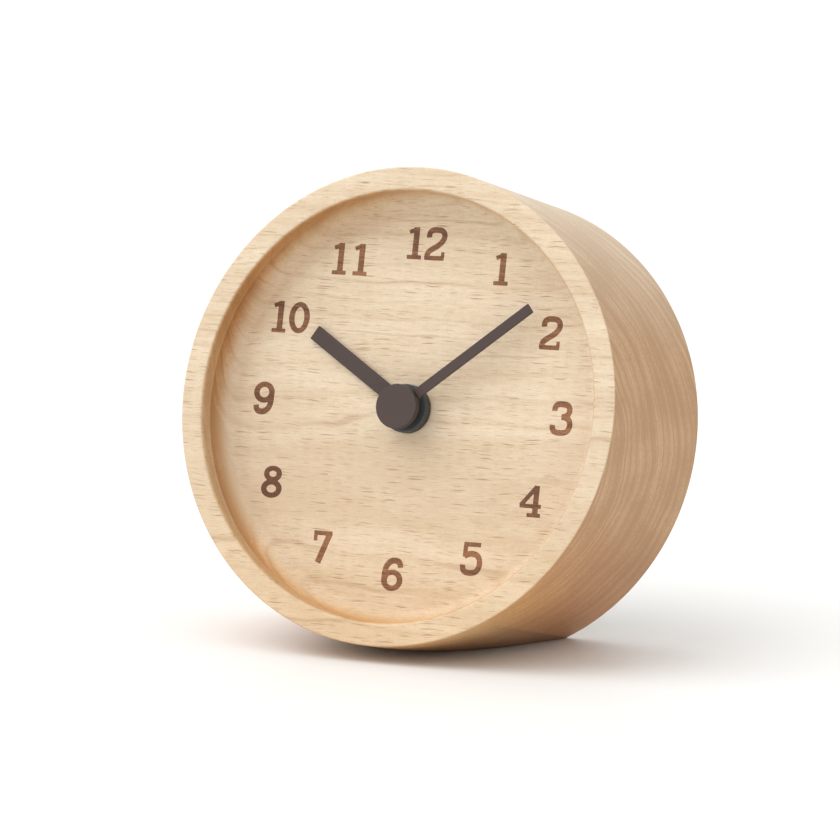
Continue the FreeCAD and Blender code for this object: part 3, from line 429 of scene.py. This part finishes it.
def material_for(key):
    colours = bpy.context.scene.clock_colours
    existing = bpy.data.materials.get(key)
    if existing:
        return existing
    if key == "Oiled beech":
        return beech(key, colours.beech_light, colours.beech_warm, colours.fleck, colours.end_light,
                     colours.end_warm)
    if key == "Burnt beech":
        return beech(key, colours.burnt, colours.burnt_dark, colours.burnt_dark, colours.burnt,
                     colours.burnt_dark, 0.9, 1.4)
    # Matt stoving lacquer on stamped sheet metal: warm grey-brown, no clear highlight
    if key == LACQUER:
        return skinned(key, colours.hand, 0.62, 0.25, 0.006, 0.05)
    # Chemically blackened steel: nearly black with a cool, soft sheen
    if key == "Blackened steel":
        return skinned(key, colours.hub, 0.55, 0.4, 0.004, 0.1, 0.5)
    # Moulded ABS, fine spark-eroded texture: even black with a broad soft sheen
    if key == "Moulded black ABS":
        return skinned(key, colours.black, 0.48, 0.35, 0.02, 0.1)
    # Moulded acetal: milky, slightly waxy
    if key == "White acetal":
        return skinned(key, colours.white, 0.36, 0.8, 0.004, 0.03)
    # Rolled brass, tumbled: warm yellow metal with fine dull patches
    if key == "Tumbled brass":
        return skinned(key, linear("C9A35A"), 0.32, 0.3, 0.004, 0.08, 1.0)
    # Rolled steel sheet: grey metal with a faint grain
    if key == "Rolled steel":
        return skinned(key, linear("A9A8A4"), 0.34, 0.25, 0.004, 0.06, 1.0)
    # Zinc-plated screws and can: bright bluish grey
    if key == "Zinc plate":
        return skinned(key, linear("BFC2C4"), 0.26, 0.2, 0.004, 0.08, 1.0)
    # Sintered magnet: dark brown-grey ceramic, grainy
    if key == "Sintered magnet":
        return skinned(key, linear("3A3532"), 0.6, 0.12, 0.02, 0.12)
    # Enamelled copper wire
    if key == "Enamelled copper":
        return winding(key)
    # Phenolic paper board: flat ochre brown, slightly glossy
    if key == "Phenolic board":
        return skinned(key, linear("A8763A"), 0.42, 0.5, 0.008, 0.08)
    # Cast resin over the bare chip: glossy black
    if key == "Cast resin":
        return skinned(key, linear("111112"), 0.16, 1.5, 0.02, 0.05, 0.0, 1.5, 0.3)
    # Capacitor body: sandy ceramic
    if key == "Capacitor ceramic":
        return skinned(key, linear("B79A6A"), 0.4, 0.2, 0.006, 0.08)
    # Shrunk PVC sleeve, printed in two plain colours
    if key == "Cell sleeve":
        return sleeve(key)
    # Nickel-plated contacts and cell cap: smooth, warm bright grey
    if key == "Nickel plate":
        return skinned(key, linear("CBC8C0"), 0.2, 0.5, 0.002, 0.04, 1.0)
    raise ValueError("no finish called " + key)


# Enamelled copper wire, wound in level turns 0.2 mm apart: fine bright lines round the coil
def winding(name):
    material, tree = new_material(name)
    place = clock_millimetres(tree)
    turns = add_node(tree, "ShaderNodeTexWave", {"Vector": place, "Scale": 1.6, "Distortion": 0.4,
                                                 "Detail": 1.0}, wave_type="BANDS", bands_direction="Z")
    base = shade(tree, with_alpha(linear("7A3B1C")), with_alpha(linear("C8743C")), turns.outputs["Fac"])
    bump = add_node(tree, "ShaderNodeBump", {"Strength": 0.5, "Distance": 0.05 * MM,
                                             "Height": turns.outputs["Fac"]})
    shader = add_node(tree, "ShaderNodeBsdfPrincipled", {"Base Color": base, "Metallic": 1.0,
                                                         "Roughness": 0.3, "Normal": bump.outputs[0]})
    add_node(tree, "ShaderNodeOutputMaterial", {"Surface": shader.outputs[0]})
    return material


# Shrunk PVC film on the cell: satin graphite, with a pale grey band over the quarter next to the positive
# end, all but its last millimetre. The flat ends are bare nickel-plated steel
def sleeve(name):
    low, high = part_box("battery_cell")
    cap_low, cap_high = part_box("battery_cap")
    positive = high[0] if cap_low[0] + cap_high[0] > low[0] + high[0] else low[0]
    reach = 0.24 * (high[0] - low[0])
    graphite = with_alpha(linear("34383D"))
    material, tree = new_material(name)
    object_place = add_node(tree, "ShaderNodeTexCoord").outputs["Object"]
    along = add_node(tree, "ShaderNodeSeparateXYZ", {0: object_place}).outputs["X"]
    from_positive = calculate(tree, "ABSOLUTE", calculate(tree, "SUBTRACT", along, positive))
    edge = ramp(tree, from_positive, reach - 0.1 * MM, reach + 0.1 * MM)
    rim = ramp(tree, from_positive, 1.2 * MM, 1.4 * MM)
    body = shade(tree, with_alpha(linear("B4B7B9")), graphite, edge)
    film = shade(tree, graphite, body, rim)
    from_low = calculate(tree, "ABSOLUTE", calculate(tree, "SUBTRACT", along, low[0]))
    from_high = calculate(tree, "ABSOLUTE", calculate(tree, "SUBTRACT", along, high[0]))
    bare = ramp(tree, calculate(tree, "MINIMUM", from_low, from_high), 0.06 * MM, 0.03 * MM)
    base = shade(tree, film, with_alpha(linear("CBC8C0")), bare)
    creases = stretched(tree, object_place, 6.0 * MM, 1.2 * MM, 1.2 * MM)
    wrinkle = add_node(tree, "ShaderNodeTexNoise", {"Vector": creases, "Scale": 1.0, "Detail": 2.0})
    rough = ramp(tree, wrinkle.outputs["Fac"], 0.3, 0.7, 0.28, 0.38)
    bump = add_node(tree, "ShaderNodeBump", {"Strength": 0.3, "Distance": 0.02 * MM,
                                             "Height": wrinkle.outputs["Fac"]})
    shader = add_node(tree, "ShaderNodeBsdfPrincipled", {"Base Color": base, "Roughness": rough, "IOR": 1.53,
                                                         "Metallic": bare, "Normal": bump.outputs[0]})
    add_node(tree, "ShaderNodeOutputMaterial", {"Surface": shader.outputs[0]})
    return material


# The smooth curve round eight points comes within this share of their distance from the middle
CURVE_REACH = 0.926


# Eight points whose smooth closed curve is an oval of the given half width and half height
def oval(centre_x, centre_z, half_width, half_height):
    points = []
    for index in range(8):
        a = math.radians(45.0 * index)
        x = centre_x + half_width / CURVE_REACH * math.cos(a)
        z = centre_z + half_height / CURVE_REACH * math.sin(a)
        points.append((x, z))
    return points


# Numeral strokes in millimetres about the middle of each sign: kind, weight beside the common stroke, points.
# A bar is straight with blunt ends, an arc is smooth between its ends, and a ring is closed and heavier at
# its sides
SIGNS = {
    "0": [("ring", 1.0, oval(0.0, 0.0, 1.95, 3.02))],
    "1": [
        ("bar", 1.1, [(0.24, 3.62), (0.24, -3.3)]),
        ("bar", 0.74, [(0.35, 3.2), (-1.55, 2.45)]),
        ("bar", 0.72, [(-1.74, -3.2), (1.84, -3.2)]),
    ],
    "2": [
        ("arc", 1.0, [(-1.75, 1.4), (-1.85, 2.4), (-1.1, 3.15), (0.2, 3.25), (1.45, 3.1), (2.15, 2.2),
                      (1.95, 0.9), (0.7, -0.35), (-1.2, -1.45), (-1.95, -2.2), (-2.0, -3.2)]),
        ("bar", 0.76, [(-2.55, -3.2), (2.3, -3.2)]),
        ("bar", 0.62, [(1.98, -3.3), (1.98, -1.75)]),
    ],
    "3": [
        ("arc", 1.0, [(-1.55, 1.6), (-1.6, 2.5), (-0.9, 3.15), (0.3, 3.25), (1.5, 3.1), (2.1, 2.3),
                      (2.0, 1.2), (1.3, 0.45), (0.2, 0.32)]),
        ("arc", 1.0, [(0.2, 0.32), (1.4, 0.3), (2.3, -0.5), (2.45, -1.8), (1.8, -2.95), (0.4, -3.25),
                      (-1.0, -3.15), (-1.85, -2.5), (-1.8, -1.5)]),
    ],
    "4": [
        ("bar", 0.78, [(1.15, 3.45), (-2.45, -0.9)]),
        ("bar", 0.7, [(-2.7, -1.0), (2.5, -1.0)]),
        ("bar", 1.0, [(1.15, 3.62), (1.15, -2.95)]),
        ("bar", 0.7, [(-0.8, -3.0), (2.5, -3.0)]),
    ],
    "5": [
        ("bar", 0.76, [(-2.0, 3.15), (2.15, 3.15)]),
        ("bar", 0.82, [(-1.5, 3.4), (-1.6, 0.3)]),
        ("arc", 1.0, [(-1.7, 0.4), (-0.9, 0.95), (0.3, 1.15), (1.6, 0.8), (2.2, -0.4), (2.15, -1.9),
                      (1.4, -3.0), (0.0, -3.25), (-1.3, -3.1), (-1.95, -2.4), (-1.9, -1.5)]),
    ],
    "6": [
        ("ring", 1.0, oval(0.05, -1.28, 1.95, 1.82)),
        ("arc", 1.05, [(-1.9, -1.3), (-2.0, 0.6), (-1.4, 2.3), (-0.3, 3.15), (0.8, 3.2), (1.75, 2.8),
                       (1.95, 1.7)]),
    ],
    "7": [
        ("bar", 0.78, [(-2.4, 3.1), (2.25, 3.1)]),
        ("bar", 0.7, [(-1.95, 3.3), (-1.95, 1.3)]),
        ("bar", 1.1, [(1.6, 3.1), (-0.85, -3.65)]),
    ],
    "8": [
        ("ring", 0.95, oval(0.05, 1.82, 1.62, 1.28)),
        ("ring", 1.0, oval(0.0, -1.58, 1.95, 1.52)),
    ],
    "9": [
        ("ring", 1.0, oval(0.0, 1.28, 1.95, 1.82)),
        ("arc", 1.05, [(1.9, 1.2), (2.0, -0.7), (1.5, -2.3), (0.4, -3.15), (-0.7, -3.2), (-1.65, -2.8),
                       (-1.85, -1.7)]),
    ],
}
# How far each sign lies to the right of its numeral's middle, in millimetres
SINGLE = (0.0,)
SIGN_PLACES = {"10": (-3.05, 2.1), "11": (-2.65, 2.65), "12": (-3.1, 2.15)}
# Each burnt numeral's own small offset from its place on the ring, right and up, in millimetres
NUMERAL_DRIFT = {
    1: (0.6, 0.0), 2: (0.49, 0.0), 3: (-0.18, 0.0), 4: (-0.28, -0.1), 5: (0.22, 0.0), 6: (-0.14, 0.0),
    7: (0.4, -0.1), 8: (-0.42, 0.0), 9: (0.29, 0.25), 10: (0.19, 0.3), 11: (0.0, 0.55), 12: (0.29, -0.1),
}
# A ring's extra weight at its sides, and as much less at its top and foot
RING_SWELL = 0.11
# Fineness of the mesh that joins a numeral's strokes, in millimetres
STROKE_GRAIN = 0.1
# The round strokes are pressed flat to this share of their thickness
NUMERAL_FLATNESS = 0.05


# A numeral as one flat mesh in millimetres: its strokes as round bars, then joined into one solid
def numeral_mesh(text, stroke):
    curve = bpy.data.curves.new("numeral strokes", "CURVE")
    curve.dimensions = "3D"
    curve.bevel_depth = 0.5 * stroke / MM
    curve.bevel_resolution = 4
    curve.use_fill_caps = True
    curve.resolution_u = 8
    for shift, sign in zip(SIGN_PLACES.get(text, SINGLE), text):
        for kind, weight, points in SIGNS[sign]:
            spline = curve.splines.new("POLY" if kind == "bar" else "NURBS")
            spline.points.add(len(points) - 1)
            for index, (point, (x, z)) in enumerate(zip(spline.points, points)):
                point.co = (x + shift, 0.0, z, 1.0)
                swell = RING_SWELL * math.cos(math.radians(90.0 * index)) if kind == "ring" else 0.0
                point.radius = weight + swell
            if kind == "ring":
                spline.use_cyclic_u = True
            if kind == "arc":
                spline.use_endpoint_u = True
            if kind != "bar":
                spline.order_u = 3
    rough = bpy.data.objects.new("numeral strokes", curve)
    bpy.context.scene.collection.objects.link(rough)
    solid = evaluated_copy(rough)
    bpy.data.objects.remove(rough)
    joined = bpy.data.objects.new("numeral solid", solid)
    bpy.context.scene.collection.objects.link(joined)
    remesh = joined.modifiers.new("Join strokes", "REMESH")
    remesh.mode = "VOXEL"
    remesh.voxel_size = STROKE_GRAIN
    merged = evaluated_copy(joined)
    bpy.data.objects.remove(joined)
    return merged


def evaluated_copy(source):
    graph = bpy.context.evaluated_depsgraph_get()
    graph.update()
    return bpy.data.meshes.new_from_object(source.evaluated_get(graph))


class CLOCK_OT_case(bpy.types.Operator):
    """Turns the beech block with its rim, cove, dial and rear pocket, and cuts its flat foot"""
    bl_idname = "clock.case"
    bl_label = "Beech case"

    def execute(self, context):
        sizes = context.scene.clock_sizes
        web_back = sizes.dial_depth + sizes.web_thickness
        bm = bmesh.new()
        corners = [
            (sizes.case_radius, 0.0),
            (sizes.case_radius, sizes.case_depth),
            (sizes.pocket_radius, sizes.case_depth),
            (sizes.pocket_radius, web_back),
            (sizes.bush_hole, web_back),
            (sizes.bush_hole, sizes.dial_depth),
            (sizes.recess_radius, sizes.dial_depth),
            (sizes.recess_radius, 0.0),
        ]
        verts = closed_profile(bm, corners)
        roundings = [(0, sizes.front_round, 5), (1, sizes.back_round, 8), (2, sizes.mouth_chamfer, 1),
                     (3, sizes.pocket_round, 8), (6, sizes.cove, 16), (7, sizes.rim_round, 6)]
        for index, radius, segments in roundings:
            round_corner(bm, verts[index], radius, segments)
        turn(bm, sizes.turning_steps)
        bm.normal_update()
        end_grain_and_shade = bm.loops.layers.float.new(END_GRAIN_AND_SHADE)
        # Openness at the two sides is end grain and partly painted shade; the share on the lower part of the
        # outside, which is no end grain, is painted shade
        for face in bm.faces:
            middle = face.calc_center_median()
            faces_centre = face.normal.x * middle.x + face.normal.z * middle.z < 0.0
            if faces_centre:
                openness_and_shade = 0.2 * abs(face.normal.x)
            else:
                openness_and_shade = max(abs(face.normal.x), -0.5 * face.normal.z)
            for corner in face.loops:
                corner[end_grain_and_shade] = openness_and_shade
        bm.transform(CLOCK_FRAME)
        cut = bmesh.ops.bisect_plane(bm, geom=bm.verts[:] + bm.edges[:] + bm.faces[:], dist=0.0001 * MM,
                                     plane_co=(0, 0, 0), plane_no=(0, 0, -1), clear_outer=True)
        rim = [item for item in cut["geom_cut"] if isinstance(item, bmesh.types.BMEdge)]
        bmesh.ops.edgeloop_fill(bm, edges=rim)
        piece = finish_mesh(bm, "turned_case", material_for("Oiled beech"), BODY,
                            ["wooden_case"], Matrix.Identity(4))
        level_normals(piece)
        return {"FINISHED"}


class CLOCK_OT_numerals(bpy.types.Operator):
    """Burns the twelve numerals into the dial"""
    bl_idname = "clock.numerals"
    bl_label = "Burnt numerals"

    def execute(self, context):
        sizes = context.scene.clock_sizes
        pressed = Matrix.Diagonal((MM, NUMERAL_FLATNESS * MM, MM, 1.0))
        for hour in range(1, 13):
            angle = math.radians(30.0 * hour)
            right, up = NUMERAL_DRIFT[hour]
            centre = Vector((sizes.ring_radius * math.sin(angle) + right * MM, sizes.dial_depth,
                             sizes.ring_radius * math.cos(angle) + sizes.ring_rise + up * MM))
            mesh = numeral_mesh(str(hour), sizes.stroke)
            mesh.transform(CLOCK_FRAME @ Matrix.Translation(centre) @ pressed)
            mesh.name = "numeral_%02d" % hour
            finish_piece(mesh, mesh.name, material_for("Burnt beech"), BODY)
        return {"FINISHED"}


# A stamped hand: a round plate with a hole, and a straight blade from the hole out to its reach
def blade(name, angle, width, reach, front, thickness, plate_radius, bore, body, node):
    sizes = bpy.context.scene.clock_sizes
    bm = turned_disc(plate_radius, bore, front, front + thickness, sizes.hand_bevel)
    plate = finish_mesh(bm, name + "_plate", material_for(LACQUER), body)
    bar = bmesh.new()
    bmesh.ops.create_cube(bar, size=1.0)
    inner = bore + sizes.blade_inset
    bmesh.ops.scale(bar, vec=(width, thickness, reach - inner), verts=bar.verts)
    bmesh.ops.translate(bar, vec=(0.0, front + 0.5 * thickness, 0.5 * (reach + inner)), verts=bar.verts)
    bmesh.ops.rotate(bar, cent=(0, 0, 0), matrix=Matrix.Rotation(angle, 3, "Y"), verts=bar.verts)
    bmesh.ops.bevel(bar, geom=bar.edges[:], offset=sizes.hand_bevel, offset_type="OFFSET", segments=2,
                    profile=0.5, affect="EDGES", material=-1)
    piece = finish_mesh(bar, name, material_for(LACQUER), body, [node])
    level_normals(piece)
    level_normals(plate)


class CLOCK_OT_hour_hand(bpy.types.Operator):
    """Makes the hour hand and the blackened hub that carries it"""
    bl_idname = "clock.hour_hand"
    bl_label = "Hour hand"

    def execute(self, context):
        sizes = context.scene.clock_sizes
        blade("hour_blade", sizes.hour_angle, sizes.hour_width, sizes.hour_reach, sizes.hour_blade_front,
              sizes.hour_thickness, sizes.hub_radius, sizes.hour_bore, HOUR_GROUP, "hour_hand")
        bm = turned_disc(sizes.hub_radius, sizes.hub_bore, sizes.hour_front, sizes.hour_blade_front,
                         sizes.hub_round)
        hub = finish_mesh(bm, "hour_hub", material_for("Blackened steel"), HOUR_GROUP,
                          ["hour_hand_hub"])
        level_normals(hub)
        return {"FINISHED"}


class CLOCK_OT_minute_hand(bpy.types.Operator):
    """Makes the minute hand and the cap over its arbor"""
    bl_idname = "clock.minute_hand"
    bl_label = "Minute hand"

    def execute(self, context):
        sizes = context.scene.clock_sizes
        blade("minute_blade", sizes.minute_angle, sizes.minute_width, sizes.minute_reach, sizes.cap_back,
              sizes.minute_thickness, sizes.cap_radius - sizes.hub_round, sizes.minute_bore, MINUTE_GROUP,
              "minute_hand")
        bm = bmesh.new()
        centre = bm.verts.new((0.0, sizes.cap_front, 0.0))
        edge = bm.verts.new((sizes.cap_radius, sizes.cap_front, 0.0))
        back_edge = bm.verts.new((sizes.cap_radius, sizes.cap_back, 0.0))
        back = bm.verts.new((0.0, sizes.cap_back, 0.0))
        for first, second in ((centre, edge), (edge, back_edge), (back_edge, back)):
            bm.edges.new((first, second))
        round_corner(bm, edge, sizes.hub_round, 4)
        turn(bm, 96)
        cap = finish_mesh(bm, "cap", material_for(LACQUER), MINUTE_GROUP, ["centre_cap"])
        level_normals(cap)
        return {"FINISHED"}


# The finish of each piece of the movement
NODE_FINISHES = {
    "Moulded black ABS": ["front_housing", "rear_lid", "setting_knob", "coil_bobbin"],
    "White acetal": ["hour_wheel", "motion_wheel", "centre_wheel", "third_wheel", "second_wheel",
                     "intermediate_wheel", "rotor", "train_bridge", "setting_shaft"],
    "Tumbled brass": ["shaft_bush", "friction_spring", "hour_washer"],
    "Rolled steel": ["minute_arbor", "arbor_clip", "stator_left", "stator_right", "coil_core"],
    "Zinc plate": ["bridge_screws", "movement_screws", "lid_screws", "crystal_can"],
    "Sintered magnet": ["rotor_magnet"],
    "Enamelled copper": ["coil_winding", "coil_leads"],
    "Phenolic board": ["circuit_board"],
    "Cast resin": ["control_chip"],
    "Capacitor ceramic": ["smoothing_capacitor"],
    "Nickel plate": ["battery_cap", "positive_contact", "negative_contact", "negative_spring"],
    "Cell sleeve": ["battery_cell"],
}


class CLOCK_OT_movement(bpy.types.Operator):
    """Gives the pieces of the quartz movement their finishes"""
    bl_idname = "clock.movement"
    bl_label = "Movement"

    def execute(self, context):
        for key, names in NODE_FINISHES.items():
            for name in names:
                node = frame["nodes"][name]
                if not node.material_slots:
                    node.data.materials.append(material_for(key))
                for slot in node.material_slots:
                    slot.material = material_for(key)
        return {"FINISHED"}


# The studio: a large window at the upper left, seen as one soft sun and as air that is brighter on its side
WINDOW_SIDE = (-0.60, -0.22, 0.77)
AIR_STRENGTH = 0.84
AIR_SLOPE = 0.60
KEY_AZIMUTH = -52.0
KEY_ELEVATION = 58.0
KEY_SOFTNESS = 50.0
KEY_STRENGTH = 0.95
FLOOR_HALF_WIDTH = 12.0

# The camera: a long lens one metre from the rim's centre, aimed a little right of it and below it
CAMERA_LENS = 191.7
CAMERA_SENSOR = 36.0
CAMERA_DISTANCE = 1.0
CAMERA_AZIMUTH = 26.85
CAMERA_ELEVATION = 7.63
AIM_RIGHT = 5.95 * MM
AIM_DOWN = 3.26 * MM


def from_clock(azimuth, elevation, distance):
    a = math.radians(azimuth)
    e = math.radians(elevation)
    direction = Vector((math.sin(a) * math.cos(e), -math.cos(a) * math.cos(e), math.sin(e)))
    return RIM_CENTRE + distance * direction


def look_at(thing, target):
    thing.rotation_euler = (target - thing.location).to_track_quat("-Z", "Y").to_euler()


# Matt paper with a faint tooth
def floor_paper(name, tint):
    material, tree = new_material(name)
    place = add_node(tree, "ShaderNodeTexCoord").outputs["Object"]
    tooth = add_node(tree, "ShaderNodeTexNoise", {"Scale": 900.0, "Detail": 1.0, "Vector": place})
    rough = ramp(tree, tooth.outputs["Fac"], 0.3, 0.7, 0.50, 0.60)
    shader = add_node(tree, "ShaderNodeBsdfPrincipled", {"Base Color": with_alpha(tint), "Roughness": rough})
    add_node(tree, "ShaderNodeOutputMaterial", {"Surface": shader.outputs[0]})
    return material


def pale_floor(tint):
    bm = bmesh.new()
    bmesh.ops.create_grid(bm, x_segments=1, y_segments=1, size=FLOOR_HALF_WIDTH)
    mesh = bpy.data.meshes.new("floor")
    bm.to_mesh(mesh)
    bm.free()
    floor = bpy.data.objects.new("floor", mesh)
    bpy.context.scene.collection.objects.link(floor)
    mesh.materials.append(floor_paper("Matt floor paper", tint))


def studio_air():
    world = bpy.data.worlds.new("Studio air")
    world.use_nodes = True
    tree = world.node_tree
    tree.nodes.clear()
    direction = add_node(tree, "ShaderNodeTexCoord").outputs["Object"]
    toward_window = add_node(tree, "ShaderNodeVectorMath", {0: direction, 1: WINDOW_SIDE},
                             operation="DOT_PRODUCT").outputs["Value"]
    strength = calculate(tree, "MULTIPLY_ADD", toward_window, AIR_SLOPE, AIR_STRENGTH)
    white = with_alpha(linear("FFFFFF"))
    air = add_node(tree, "ShaderNodeBackground", {"Color": white, "Strength": strength})
    add_node(tree, "ShaderNodeOutputWorld", {"Surface": air.outputs[0]})
    bpy.context.scene.world = world


def key_light():
    lamp = bpy.data.lights.new("Key light", "SUN")
    lamp.angle = math.radians(KEY_SOFTNESS)
    lamp.energy = KEY_STRENGTH
    lamp.color = linear("FFFFFF")
    holder = bpy.data.objects.new("Key light", lamp)
    bpy.context.scene.collection.objects.link(holder)
    holder.location = from_clock(KEY_AZIMUTH, KEY_ELEVATION, 1.0)
    look_at(holder, RIM_CENTRE)


def camera_view():
    lens = bpy.data.cameras.new("Camera")
    lens.lens = CAMERA_LENS
    lens.sensor_width = CAMERA_SENSOR
    lens.clip_start = 0.01
    lens.clip_end = 60.0
    camera = bpy.data.objects.new("Camera", lens)
    bpy.context.scene.collection.objects.link(camera)
    camera.location = from_clock(CAMERA_AZIMUTH, CAMERA_ELEVATION, CAMERA_DISTANCE)
    back = (camera.location - RIM_CENTRE).normalized()
    azimuth = math.radians(CAMERA_AZIMUTH)
    right = Vector((math.cos(azimuth), math.sin(azimuth), 0.0))
    up = back.cross(right)
    look_at(camera, RIM_CENTRE + AIM_RIGHT * right - AIM_DOWN * up)
    bpy.context.scene.camera = camera


class CLOCK_OT_stage(bpy.types.Operator):
    """Sets the pale floor, the soft studio light and the camera"""
    bl_idname = "clock.stage"
    bl_label = "Stage"

    def execute(self, context):
        pale_floor(context.scene.clock_colours.floor)
        studio_air()
        context.scene.view_settings.view_transform = "Standard"
        key_light()
        camera_view()
        return {"FINISHED"}


OPERATORS = (CLOCK_OT_case, CLOCK_OT_numerals, CLOCK_OT_hour_hand, CLOCK_OT_minute_hand, CLOCK_OT_movement,
             CLOCK_OT_stage)


class CLOCK_PT_panel(bpy.types.Panel):
    """Lists the clock's pieces"""
    bl_idname = "CLOCK_PT_panel"
    bl_label = "Desk clock"
    bl_space_type = "VIEW_3D"
    bl_region_type = "UI"
    bl_category = "Clock"

    def draw(self, context):
        for operator in OPERATORS:
            self.layout.operator(operator.bl_idname)
        for group in (context.scene.clock_sizes, context.scene.clock_colours):
            column = self.layout.column()
            for name in group.bl_rna.properties.keys():
                if name not in {"rna_type", "name"}:
                    column.prop(group, name)


CLASSES = (ClockSizes, ClockColours) + OPERATORS + (CLOCK_PT_panel,)


def register():
    for one in CLASSES:
        bpy.utils.register_class(one)
    bpy.types.Scene.clock_sizes = PointerProperty(type=ClockSizes)
    bpy.types.Scene.clock_colours = PointerProperty(type=ClockColours)


def unregister():
    del bpy.types.Scene.clock_colours
    del bpy.types.Scene.clock_sizes
    for one in reversed(CLASSES):
        bpy.utils.unregister_class(one)


def main():
    register()
    bpy.ops.clock.case()
    bpy.ops.clock.numerals()
    bpy.ops.clock.hour_hand()
    bpy.ops.clock.minute_hand()
    bpy.ops.clock.movement()
    bpy.ops.clock.stage()
    bpy.context.view_layer.update()


if __name__ == "__main__":
    main()
